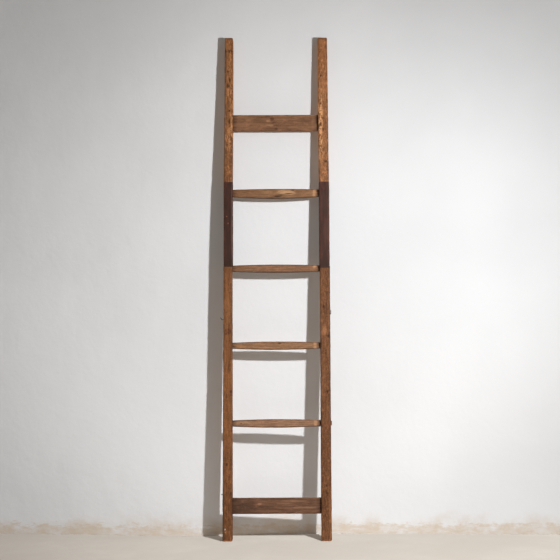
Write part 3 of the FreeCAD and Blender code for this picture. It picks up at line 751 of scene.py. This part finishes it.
def wood(name, along, seed, light, dark, pith, ring_width=3.4, ring_depth=0.3, blotch=(9, 19),
         mottle=0.35, speckle=0.2, streak=0.3, streak_size=(4.2, 85), knots=(), patches=(), flecks_and_glints=(),
         holes=0.0, cracks=0.0, knot_tone=(56, 34, 22), edge_wear_and_shade_tone=(84, 52, 31), painted_turned_shade=0.0):
    """Old wood, its grain along z or x. Places are in millimetres, with the grain's direction last.
    pith is where its rings centre, across the grain. knots hold (place, across, along), patches and flecks
    (place, across, along, tone, strength); the light flecks are painted glints. The blotches break up the
    flecks.
    The last argument paints shade on the faces that turn up or down."""
    tree = material_tree(name)
    place, shifted = grain_coordinates(tree, along, seed)

    def pattern(across, along, *settings):
        return tree.noise(tree.stretch(shifted, across, along), 1, *settings)

    # Knots push the rings outward and darken their middles
    knot_core, knot_rim, push = 0.0, 0.0, 0.0
    for knot in knots:
        distance, core = spot(tree, place, shifted, *knot)
        knot_core = tree.math("MAXIMUM", knot_core, core)
        rim = tree.times(tree.span(distance, 0.5, 1), tree.span(distance, 2.2, 1))
        knot_rim = tree.math("MAXIMUM", knot_rim, rim)
        push = tree.plus(push, tree.span(distance, 3.6, 0.3), 9)

    # Growth rings, whose late wood is dark
    flat = tree.vector("MULTIPLY", tree.vector("SUBTRACT", place, (*pith, 0)), (1, 1, 0))
    radius = tree.plus(tree.vector("LENGTH", flat), pattern(45, 190, 2), 15)
    radius = tree.math("ADD", radius, push)
    radius = tree.plus(radius, pattern(5, 40, 2), 2.2)
    cycle = tree.math("FRACT", tree.math("DIVIDE", radius, ring_width))
    late = tree.times(tree.span(cycle, 0.25, 0.86), tree.span(cycle, 1, 0.9))

    # Fibres, streaks, blotches and a rough, pitted skin
    fibre = pattern(0.8, 17, 4, 0.65)
    streaks = pattern(*streak_size, 3, 0.55, 0.3)
    blotches = pattern(*blotch, 4, 0.62, 0.5)
    pits = pattern(2.6, 4.2, 3, 0.6)
    worn = pattern(30, 90, 2)

    darker, brighter = colour(dark, 0.62), colour(light, 1.2)
    tone = tree.tint(colour(light), tree.span(streaks, 0.3, 0.72), colour(dark))
    tone = tree.tint(tone, tree.times(late, ring_depth), darker)
    tone = tree.tint(tone, tree.times(tree.span(worn, 0.42, 0.66), 0.2), darker)
    for *patch, patch_tone, strength in patches:
        share = spot(tree, place, shifted, *patch, 0.5)[1]
        tone = tree.tint(tone, tree.times(share, strength), colour(patch_tone))
    tone = tree.tint(tone, tree.times(tree.span(blotches, 0.5, 0.7), mottle), darker)
    tone = tree.tint(tone, tree.times(tree.span(blotches, 0.5, 0.32), mottle), brighter)
    # Flecks broken up by the blotches; the light ones are painted glints
    for *dab, dab_tone, strength in flecks_and_glints:
        share = spot(tree, place, shifted, *dab, 0.6)[1]
        broken = tree.times(share, tree.span(blotches, 0.56, 0.42))
        tone = tree.tint(tone, tree.times(broken, strength), colour(dab_tone))
    tone = tree.tint(tone, tree.times(tree.span(pits, 0.53, 0.7), speckle), darker)
    tone = tree.tint(tone, tree.times(tree.span(pits, 0.47, 0.3), speckle), brighter)
    tone = tree.tint(tone, tree.times(tree.span(fibre, 0.5, 0.72), streak), darker)
    tone = tree.tint(tone, tree.times(tree.span(fibre, 0.48, 0.3), 0.6 * streak), brighter)
    if knots:
        tone = tree.tint(tone, tree.times(knot_rim, 0.5), colour(dark, 0.6))
        tone = tree.tint(tone, tree.times(knot_core, 0.85), colour(knot_tone))

    height = tree.minus(tree.times(fibre, 0.25), late, 0.12)
    height = tree.plus(height, blotches, 0.5 * mottle)
    height = tree.plus(height, pits, 0.7 * speckle)
    if holes:
        # Worm holes, sparse and dark
        cells = tree.node("ShaderNodeTexVoronoi", {"Vector": tree.stretch(shifted, 8, 11), "Scale": 1.0})
        chance = tree.node("ShaderNodeSeparateColor", {"Color": cells.outputs["Color"]}).outputs["Red"]
        hole = tree.span(cells.outputs["Distance"], 0.15, 0.09)
        hole = tree.times(hole, tree.span(chance, 1 - holes, 1.02 - holes))
        tone = tree.tint(tone, hole, colour((34, 22, 15)))
        height = tree.minus(height, hole, 1.2)
    if cracks:
        thin = tree.math("ABSOLUTE", tree.math("SUBTRACT", pattern(6.5, 210, 2, 0.5, 0.4), 0.5))
        where = tree.span(tree.noise(tree.stretch(shifted, 20, 90), 1.3, 1), 0.54, 0.62)
        crack = tree.times(tree.times(tree.span(thin, 0.011, 0.003), where), cracks)
        tone = tree.tint(tone, crack, colour((38, 24, 16)))
        height = tree.minus(height, crack, 0.9)

    # End grain; arrises darkened partly by wear and partly as painted shade; darkening at the joints,
    # and painted shade on the stiles' outer front arrises
    facing = tree.node("ShaderNodeTexCoord", {}).outputs["Normal"]
    up = (0, 0, 1)

    def turned_to(axis, low):
        return tree.span(tree.math("ABSOLUTE", tree.vector("DOT_PRODUCT", facing, axis)), low, 0.9)

    end = turned_to(up if along == "z" else (1, 0, 0), 0.6)
    tone = tree.tint(tone, tree.times(end, 0.55), colour(dark, 0.5))
    # Painted shade on the faces that turn up or down
    if painted_turned_shade:
        tone = tree.tint(tone, tree.times(turned_to(up, 0.35), painted_turned_shade), colour(dark, 0.45))
    edge = tree.attribute("edge")
    worn_and_shaded_edge = tree.times(edge, tree.span(blotches, 0.38, 0.62))
    tone = tree.tint(tone, tree.times(worn_and_shaded_edge, 0.5), colour(edge_wear_and_shade_tone))
    darkening_and_painted_shade = tree.times(tree.attribute("darkening_and_painted_shade"), tree.span(streaks, 0.2, 0.6, 0.4, 1))
    tone = tree.tint(tone, tree.times(darkening_and_painted_shade, 0.55), colour((52, 34, 24)))

    gloss = tree.plus(0.7, tree.math("SUBTRACT", fibre, 0.5), 0.3)
    return tree.finish(tone, tree.minus(gloss, edge, 0.12), height, 0.0011, 0.16)


def iron(name, seed, light, dark, rust, roughness, specular, metallic, grain=1.0, flecks_and_glints=()):
    """Old sheet iron or nails: dark, with rust in patches and rubbed edges. flecks hold
    (place, across, along, tone, strength); some are painted highlights."""
    tree = material_tree(name)
    place, shifted = grain_coordinates(tree, "z", seed)

    def pattern(across, along, *settings):
        return tree.noise(tree.stretch(shifted, across * grain, along * grain), 1, *settings)

    patches = pattern(16, 34, 4, 0.6, 0.5)
    speckle = pattern(2.6, 3.4, 5, 0.65)
    runs = pattern(5, 120, 2)
    pale, deep = colour(light, 1.5), colour(dark, 0.55)
    tone = tree.tint(colour(light), tree.span(runs, 0.36, 0.66), colour(dark))
    tone = tree.tint(tone, tree.times(tree.span(patches, 0.48, 0.72), 0.75), colour(rust))
    tone = tree.tint(tone, tree.times(tree.span(speckle, 0.56, 0.74), 0.35), pale)
    tone = tree.tint(tone, tree.times(tree.span(speckle, 0.46, 0.3), 0.6), deep)
    edge = tree.times(tree.attribute("edge"), tree.span(patches, 0.3, 0.6))
    tone = tree.tint(tone, tree.times(edge, 0.4), pale)
    tone = tree.tint(tone, tree.times(tree.attribute("darkening_and_painted_shade"), 0.35), deep)
    # Flecks, some of them painted highlights along the sleeves' arrises
    for *dab, dab_tone, strength in flecks_and_glints:
        share = spot(tree, place, shifted, *dab, 0.5)[1]
        tone = tree.tint(tone, tree.times(share, strength), colour(dab_tone))
    height = tree.plus(tree.times(speckle, 0.5), patches, 0.6)
    gloss = tree.plus(roughness, tree.math("SUBTRACT", speckle, 0.5), 0.5)
    return tree.finish(tone, tree.minus(gloss, edge, 0.1), height, 0.0005 * grain, specular, metallic)


# Assembly

def dress(piece, material):
    if piece.material_slots:
        piece.material_slots[0].material = material
    else:
        piece.data.materials.append(material)


def front(x, z):
    """A place on the stiles' front."""
    return (x, -STILE_HALF_DEPTH, z)


# A painted glint; the feet's lower edge, lighter partly by wear and partly as painted highlight; specks of
# white paint
PAINTED_GLINT, FOOT_EDGE_WEAR_AND_HIGHLIGHT, LIME = (214, 152, 102), (186, 122, 78), (226, 222, 212)
# A painted highlight at the rungs' right ends, where they curve towards the light
PAINTED_END_HIGHLIGHT = (196, 150, 112)

left_lower = wood(
    "left_lower_stile_wood", "z", 1, (135, 89, 55), (98, 61, 36), (-222, 34),
    ring_width=3.8, ring_depth=0.15, blotch=(7, 18), mottle=0.44, speckle=0.4, streak=0.28,
    holes=0.05, cracks=0.6,
    knots=[(front(-195.5, 808), 1.7, 3.2), (front(-194.5, 793), 2.4, 2.6),
           (front(-178.5, 804), 1.6, 3.4),
           (front(-175.5, 570), 3.2, 4.5), (front(-192.5, 292), 3, 4),
           (front(-176, 182), 2.5, 4), ((-206, 4, 640), 4, 7)],
    patches=[((-190, 0, 60), 60, 120, (84, 51, 28), 0.5),
             ((-190, 0, 540), 60, 190, (150, 98, 58), 0.3),
             (front(-190, 880), 9, 60, (156, 108, 70), 0.45),
             (front(-187, 802), 8, 10.5, (100, 56, 34), 0.75),
             (front(-186, 803), 4, 4.5, (150, 92, 60), 0.8),
             (front(-199, 46), 1.6, 3, LIME, 1), (front(-197.5, 35), 1.2, 1.6, LIME, 1),
             # The foot's lower edge, lighter partly by wear and partly as painted highlight
             (front(-190, 2), 30, 3.2, FOOT_EDGE_WEAR_AND_HIGHLIGHT, 0.8)],
)
right_lower = wood(
    "right_lower_stile_wood", "z", 2, (133, 90, 59), (98, 62, 40), (214, 40),
    ring_width=3.2, ring_depth=0.15, blotch=(7, 15), mottle=0.5, speckle=0.46, streak=0.28,
    holes=0.07, cracks=0.7,
    knots=[(front(183.5, 897.5), 3.2, 5), (front(201.5, 784), 3, 5),
           (front(196, 570), 2.8, 3.5), (front(190.5, 211), 2.5, 3.5),
           ((208, 3, 388), 4, 7)],
    patches=[(front(186.5, 805), 10, 16, (178, 124, 84), 0.6),
             ((190, 0, 260), 60, 260, (82, 50, 31), 0.46),
             # Lighter strips down the outer front arris, partly wear and partly painted highlight
             (front(205, 110), 5, 70, (164, 110, 72), 0.5),
             (front(205, 24), 3, 24, (176, 120, 80), 0.5),
             # The foot's lower edge, lighter partly by wear and partly as painted highlight
             (front(190, 2), 30, 3.2, FOOT_EDGE_WEAR_AND_HIGHLIGHT, 0.8)],
)
left_upper = wood(
    "left_upper_stile_wood", "z", 3, (163, 111, 70), (118, 76, 46), (-150, 30),
    ring_width=4.2, ring_depth=0.15, blotch=(6.5, 15), mottle=0.66, speckle=0.52, streak=0.3,
    streak_size=(5, 60), holes=0.1, cracks=0.5,
    knots=[(front(-187, 1766), 4.2, 6.6), (front(-179.5, 1789), 2.4, 4),
           (front(-181.5, 1625), 3.4, 9),
           (front(-181, 1667), 2.6, 3), ((-198, -16, 1840), 3, 14),
           (front(-187, 1822), 2.6, 3)],
    # The light flecks are painted glints
    flecks_and_glints=[(front(-172, 1640), 7, 100, PAINTED_GLINT, 0.75),
            (front(-183, 1551), 12, 34, PAINTED_GLINT, 0.45),
            (front(-182, 1856), 6, 36, (196, 134, 84), 0.8),
            (front(-180, 1738), 8, 30, PAINTED_GLINT, 0.75),
            (front(-180, 1700), 12, 60, (70, 42, 25), 0.32)],
    patches=[(front(-184, 1905), 30, 5.5, (66, 40, 24), 0.9),
             ((-184, 0, 1465), 60, 115, (104, 68, 45), 0.6),
             (front(-184, 1945), 30, 26, (138, 88, 52), 0.6),
             # Painted shade: a dark strip down the outer arris
             (front(-200, 1830), 5, 90, (78, 48, 30), 0.7)],
)
right_upper = wood(
    "right_upper_stile_wood", "z", 4, (172, 118, 78), (130, 85, 54), (222, 26),
    ring_width=4.6, ring_depth=0.15, blotch=(6.5, 15), mottle=0.7, speckle=0.54, streak=0.3,
    streak_size=(5, 60), holes=0.12, cracks=0.5,
    knots=[(front(178.5, 1806), 2.4, 3.6), (front(177, 1694), 2.6, 3),
           (front(178, 1613), 1.8, 5), (front(195.5, 1466), 4.6, 4),
           (front(186, 1592), 2, 4)],
    patches=[(front(186, 1890), 40, 60, (150, 98, 62), 0.7),
             (front(184, 1500), 16, 22, (114, 78, 56), 0.6),
             ((186, 0, 1425), 60, 45, (130, 88, 60), 0.4)],
    # The light flecks are painted glints
    flecks_and_glints=[(front(175, 1610), 9, 110, (236, 176, 124), 1),
            (front(184, 1545), 14, 44, PAINTED_GLINT, 0.75),
            (front(192, 1580), 8, 90, (84, 52, 32), 0.6)],
)


def rung_wood(number, light, dark, pith, **settings):
    # Rungs get painted shade on their faces that turn up or down
    return wood(f"rung_{number}_wood", "x", 4 + number, light, dark, pith, painted_turned_shade=0.6, **settings)


# The patches at x = 150 are painted highlights on the rungs' right ends
rung_woods = [
    rung_wood(
        1, (157, 117, 85), (122, 86, 60), (30, 1388), ring_width=3,
        ring_depth=0.3, blotch=(4.5, 26), mottle=0.36, speckle=0.3, streak=0.4, holes=0.03,
        knots=[((-9, 1329.5, 5), 3, 11), ((-9, 1336, 24), 1.6, 16),
               ((-9, 1341, 50), 1.5, 12), ((-9, 1355, 66), 2.4, 5)],
        patches=[((-9, 1344, 40), 9, 30, (206, 164, 124), 0.85),
                 ((-9, 1343, -110), 16, 60, (106, 72, 50), 0.3),
                 ((-5.5, 1343, 151), 30, 5.5, PAINTED_END_HIGHLIGHT, 0.85)],
    ),
    rung_wood(
        2, (150, 110, 82), (122, 87, 63), (26, 1080), ring_width=3.4,
        ring_depth=0.26, blotch=(4, 28), mottle=0.38, speckle=0.3, streak=0.42,
        patches=[((-5.5, 1054, 150), 5, 8, PAINTED_END_HIGHLIGHT, 0.95),
                 ((-9, 1050, -10), 2, 26, (112, 76, 54), 0.5)],
    ),
    rung_wood(
        3, (160, 120, 89), (132, 96, 69), (24, 786), ring_width=2.8,
        ring_depth=0.26, blotch=(4, 24), mottle=0.36, speckle=0.32, streak=0.4, holes=0.03,
        knots=[((-9, 756, 12), 2.2, 5)],
        patches=[((-5.5, 748, 150), 30, 6, PAINTED_END_HIGHLIGHT, 0.75),
                 ((-5.5, 744, -140), 5, 20, (170, 120, 74), 0.6)],
    ),
    rung_wood(
        4, (157, 120, 94), (131, 97, 74), (28, 476), ring_width=3.6,
        ring_depth=0.22, blotch=(4.5, 30), mottle=0.34, speckle=0.3, streak=0.38,
        knots=[((-6, 447, -137), 1.6, 3), ((-8, 431.5, 26), 2, 6)],
        patches=[((-5.5, 448, 151), 30, 6, PAINTED_END_HIGHLIGHT, 0.6),
                 ((-6.5, 451, -130), 5, 26, (186, 146, 112), 0.5)],
    ),
]
top_board = wood(
    "top_rail_wood", "x", 9, (139, 100, 73), (112, 78, 56), (-46, 1640), ring_width=7.5,
    ring_depth=0.22, blotch=(12, 34), mottle=0.36, speckle=0.24, streak=0.26, streak_size=(9, 120),
    knots=[((-7, 1597, 2), 3.6, 4.5)], knot_tone=(72, 46, 32),
    patches=[((-7, 1638, -14), 8, 9, (76, 49, 33), 0.85),
             ((-7, 1622, -2), 3.5, 17, (78, 51, 34), 0.85),
             ((-7, 1646, -50), 5, 24, (84, 56, 38), 0.7),
             ((-7, 1629, -30), 4, 8, (172, 127, 92), 0.8),
             ((-7, 1612, -20), 3, 14, (166, 122, 88), 0.8),
             ((-7, 1620, -120), 40, 40, (148, 108, 78), 0.35),
             ((-7, 1620, 150), 40, 8, (150, 109, 80), 0.5)],
)
bottom_board = wood(
    "bottom_rail_wood", "x", 10, (117, 84, 64), (89, 62, 47), (-38, 104), ring_width=6.5,
    ring_depth=0.17, blotch=(8, 30), mottle=0.3, speckle=0.22, streak=0.22,
    streak_size=(7, 110), edge_wear_and_shade_tone=(74, 50, 36),
    patches=[((-7, 120, -140), 30, 56, (60, 42, 31), 0.62),
             ((-7, 140, -67), 2.6, 7, (178, 136, 104), 0.85),
             ((-7, 140, -66), 6, 17, (128, 92, 70), 0.4),
             ((-7, 150, 70), 3.5, 44, (148, 110, 84), 0.55),
             ((-7, 140, 30), 3, 26, (140, 104, 80), 0.5),
             ((-7, 126, 105), 3.5, 44, (152, 114, 88), 0.55)],
)
wedge_wood = wood(
    "wedge_wood", "x", 11, (104, 72, 48), (74, 49, 33), (30, 900), ring_width=1.6,
    ring_depth=0.4, mottle=0.3, streak=0.4,
)
left_iron = iron(
    "left_sleeve_iron", 12, (62, 38, 30), (47, 29, 23), (74, 41, 30), 0.58, 0.16, 0,
    flecks_and_glints=[(front(-191.7, 1249.7), 2, 2.6, (150, 104, 80), 0.8),
            (front(-186.3, 1223), 2.2, 3, (140, 96, 74), 0.7),
            # A painted highlight down the sleeve's right front arris
            (front(-173.5, 1220), 1.6, 110, (104, 76, 64), 0.6),
            (front(-186, 1075), 30, 26, (46, 28, 22), 0.45)],
)
right_iron = iron(
    "right_sleeve_iron", 13, (69, 42, 34), (53, 32, 25), (84, 48, 36), 0.58, 0.16, 0,
    flecks_and_glints=[(front(186, 1310), 14, 30, (88, 60, 49), 0.2),
            # A painted highlight towards the sleeve's right edge
            (front(196, 1190), 9, 60, (92, 60, 48), 0.35),
            (front(186, 1068), 30, 22, (50, 31, 25), 0.5)],
)
nail_iron = iron("nail_iron", 14, (46, 38, 33), (31, 25, 22), (72, 44, 30), 0.6, 0.3, 0.2, 0.25)

dress(lower_stile("left"), left_lower)
dress(lower_stile("right"), right_lower)
dress(upper_stile("left"), left_upper)
dress(upper_stile("right"), right_upper)
for number, material in enumerate(rung_woods, 1):
    dress(rung(f"rung_{number}"), material)
dress(rail("top_rail"), top_board)
dress(rail("bottom_rail"), bottom_board)
dress(sleeve("left"), left_iron)
dress(sleeve("right"), right_iron)
for node_name, node in frame["nodes"].items():
    if "wedge" in node_name:
        dress(node, wedge_wood)
    elif "nail" in node_name:
        dress(node, nail_iron)


# Floor, wall, light and camera

BACKDROP = (0.82, 0.81, 0.80, 1.0)
# Middles of wall and floor, from which painted shade darkens them; beyond its middle the wall also passes
# into the backdrop
WALL_MIDDLE = (0, 0, 1)
FLOOR_MIDDLE = (0.4, 0, 0)


def plaster(tree, place, light, dark, patch_size, foot_tone, foot_band, middle, painted_falloff):
    """A pale matt surface, stained near the floor, with painted shade that darkens it away from its middle.
    """
    clouds = tree.noise(place, 1 / patch_size, 4, 0.55)
    trowel = tree.noise(place, 9, 6, 0.6)
    tone = tree.tint(colour(light), tree.span(clouds, 0.3, 0.7), colour(dark))
    height = tree.node("ShaderNodeSeparateXYZ", {"Vector": place}).outputs["Z"]
    ragged = tree.math("MULTIPLY_ADD", trowel, -0.12, height)
    stained = tree.times(tree.span(ragged, 0.03, -0.04), tree.span(trowel, 0.3, 0.6))
    tone = tree.tint(tone, tree.times(stained, 0.5), colour(foot_tone))
    if foot_band:
        crumbs = tree.noise(tree.vector("MULTIPLY", place, (1, 1, 2.6)), 26, 5, 0.7)
        low = tree.math("MULTIPLY_ADD", crumbs, -0.09, height)
        band = tree.times(tree.span(low, 0, -0.014), tree.span(crumbs, 0.4, 0.62, 0.3, 1))
        tone = tree.tint(tone, tree.times(band, foot_band), colour(foot_tone))
    # Painted shade: darker away from the middle, as where the light falls off
    away = tree.span(tree.vector("DISTANCE", place, middle), 0.75, 1.55)
    tone = tree.tint(tone, tree.times(away, painted_falloff), colour((0, 0, 0)))
    return tree.surface(tone, 0.85, trowel, 0.003).outputs["BSDF"]


def stage_tree(name):
    """The nodes of a floor or wall, its coordinates, and the light of the backdrop that it passes into."""
    tree = material_tree(name)
    place = tree.node("ShaderNodeTexCoord", {}).outputs["Object"]
    pale = tree.node("ShaderNodeEmission", {"Color": BACKDROP, "Strength": 1.0}).outputs["Emission"]
    return tree, place, pale


def shows_backdrop(tree):
    """1 for rays that show the backdrop, and 0 for those that only gather light."""
    rays = tree.node("ShaderNodeLightPath", {}).outputs
    seen = tree.math("MAXIMUM", rays["Is Camera Ray"], rays["Is Glossy Ray"])
    return tree.math("MAXIMUM", seen, rays["Is Transmission Ray"])


def wall_plaster():
    """Only the camera sees the wall, and only from its front, so that it never hides or shades the rest."""
    tree, place, pale = stage_tree("wall_plaster")
    shader = plaster(
        tree, place, (229, 231, 234), (221, 223, 226), 0.9, (204, 186, 164), 0.62, WALL_MIDDLE, 0.19,
    )
    far = tree.span(tree.vector("DISTANCE", place, WALL_MIDDLE), 1.5, 2.8)
    shader = tree.mix_shaders(far, shader, pale)
    clear = tree.node("ShaderNodeBsdfTransparent", {}).outputs["BSDF"]
    back = tree.node("ShaderNodeNewGeometry", {}).outputs["Backfacing"]
    other_ray = tree.math("SUBTRACT", 1.0, tree.node("ShaderNodeLightPath", {}).outputs["Is Camera Ray"])
    return tree.end(tree.mix_shaders(tree.math("MAXIMUM", back, other_ray), shader, clear))


def floor_plaster():
    tree, place, pale = stage_tree("floor_plaster")
    shader = plaster(
        tree, place, (229, 223, 214), (217, 210, 201), 0.5, (217, 210, 201), 0.0, FLOOR_MIDDLE, 0.22,
    )
    far = tree.span(tree.vector("LENGTH", place), 1.3, 3.4)
    return tree.end(tree.mix_shaders(tree.times(far, shows_backdrop(tree)), shader, pale))


def stage_plane(name, points, faces, material):
    plane = add_mesh(name, points, faces)
    plane.data.shade_smooth()
    plane.data.materials.append(material)


# The wall stands where it puts the shadow's edges as in the photograph
WALL_FOOT = 0.1235
WALL_LEAN = (0.0232 - WALL_FOOT) / 1.959
WALL_TWIST = 0.09
WALL_NEARER = 0.0115
WALL_SIDES = {"left": 0.07, "right": -0.03}
WALL_PLACES = [-8, -4, -2.5, *(0.025 * step for step in range(-60, 61)), 2.5, 4, 8]
WALL_HEIGHTS = [*(0.1 * step for step in range(21)), 3, 7]
FLOOR_REACH = 30


def wall_point(x, z):
    """The wall leans a little and turns away at the sides. Low down it is twisted behind the ladder,
    and comes nearer on the left."""
    twist = WALL_TWIST * x * math.exp(-(x / 0.4) ** 2) * clamp(1 - z / 1.2)
    twist -= WALL_NEARER * ease((-0.14 - x) / 0.13) * ease((1.15 - z) / 0.7) * ease((1.4 + x) / 0.9)
    turn_away = WALL_SIDES["left" if x < 0 else "right"] * ease((abs(x) - 0.25) / 1.3)
    return (x, WALL_FOOT + WALL_LEAN * z + twist + turn_away, z)


stage_plane(
    "wall", [wall_point(x, z) for z in WALL_HEIGHTS for x in WALL_PLACES],
    quads(len(WALL_HEIGHTS), len(WALL_PLACES), closed=False), wall_plaster(),
)
floor_corners = [(x * FLOOR_REACH, y * FLOOR_REACH, 0) for x, y in ((-1, -1), (1, -1), (1, 1), (-1, 1))]
stage_plane("floor", floor_corners, [(0, 1, 2, 3)], floor_plaster())


def lamp(name, place, target, size, power, shade_of_light):
    """A round lamp that gives the same light at any distance, so that the whole object is evenly lit."""
    data = bpy.data.lights.new(name, "AREA")
    data.shape = "DISK"
    data.size = size
    data.energy = power
    data.color = shade_of_light
    data.use_nodes = True
    nodes, links = data.node_tree.nodes, data.node_tree.links
    falloff = nodes.new("ShaderNodeLightFalloff")
    falloff.inputs["Strength"].default_value = 1.0
    links.new(falloff.outputs["Constant"], nodes["Emission"].inputs["Strength"])
    made = add_object(name, data)
    made.location = place
    direction = Vector(target) - Vector(place)
    made.rotation_euler = direction.to_track_quat("-Z", "Y").to_euler()
    return made


lamp("key", (0.9, -1.5, 1.46), (0.6, 0, 0.7), 0.09, 10.25, (1, 1, 1))

# This one lights the ladder's pieces alone, so that the floor keeps its shadow, and makes no highlights
back_lamp = lamp("back", (-1.2, 2.4, 1.6), (0, 0, 1), 0.5, 8, (1, 0.98, 0.95))
lit_from_behind = bpy.data.collections.new("lit_from_behind")
for piece in list(bpy.context.scene.objects):
    if piece.type == "MESH" and piece.name not in ("wall", "floor"):
        lit_from_behind.objects.link(piece)
back_lamp.light_linking.receiver_collection = lit_from_behind
back_lamp.visible_glossy = False

# A weak warm light from all round, and the backdrop for the rays that show it
FILL_COLOUR = (1.0, 0.9, 0.79, 1.0)
FILL_LEVEL = 0.26

studio = Tree(bpy.data.worlds.new("studio"))
bpy.context.scene.world = studio.owner
fill, backdrop = [
    studio.node("ShaderNodeBackground", {"Color": tone, "Strength": level}).outputs["Background"]
    for tone, level in ((FILL_COLOUR, FILL_LEVEL), (BACKDROP, 1.0))
]
studio.end(studio.mix_shaders(shows_backdrop(studio), fill, backdrop), "ShaderNodeOutputWorld")

# The camera as fitted to the photograph: yaw, pitch and roll in radians, and its focal length
CAMERA_PLACE = (0.0078, -4.0, 0.7512)
CAMERA_TURN = (-0.0018, 0.0627, 0.0039)
FOCAL_PIXELS = 1027.2
IMAGE_PIXELS = 560
SENSOR = 36.0

yaw, pitch, roll = CAMERA_TURN
turn = Matrix.Rotation(yaw, 3, "Z") @ Matrix.Rotation(pitch, 3, "X") @ Matrix.Rotation(roll, 3, "Y")
camera_data = bpy.data.cameras.new("camera")
camera_data.sensor_width = SENSOR
camera_data.lens = FOCAL_PIXELS / IMAGE_PIXELS * SENSOR
camera = add_object("camera", camera_data)
upright_turn = turn @ Matrix.Rotation(math.pi / 2, 3, "X")
camera.matrix_world = Matrix.Translation(CAMERA_PLACE) @ upright_turn.to_4x4()
bpy.context.scene.camera = camera
bpy.context.scene.view_settings.view_transform = "Standard"
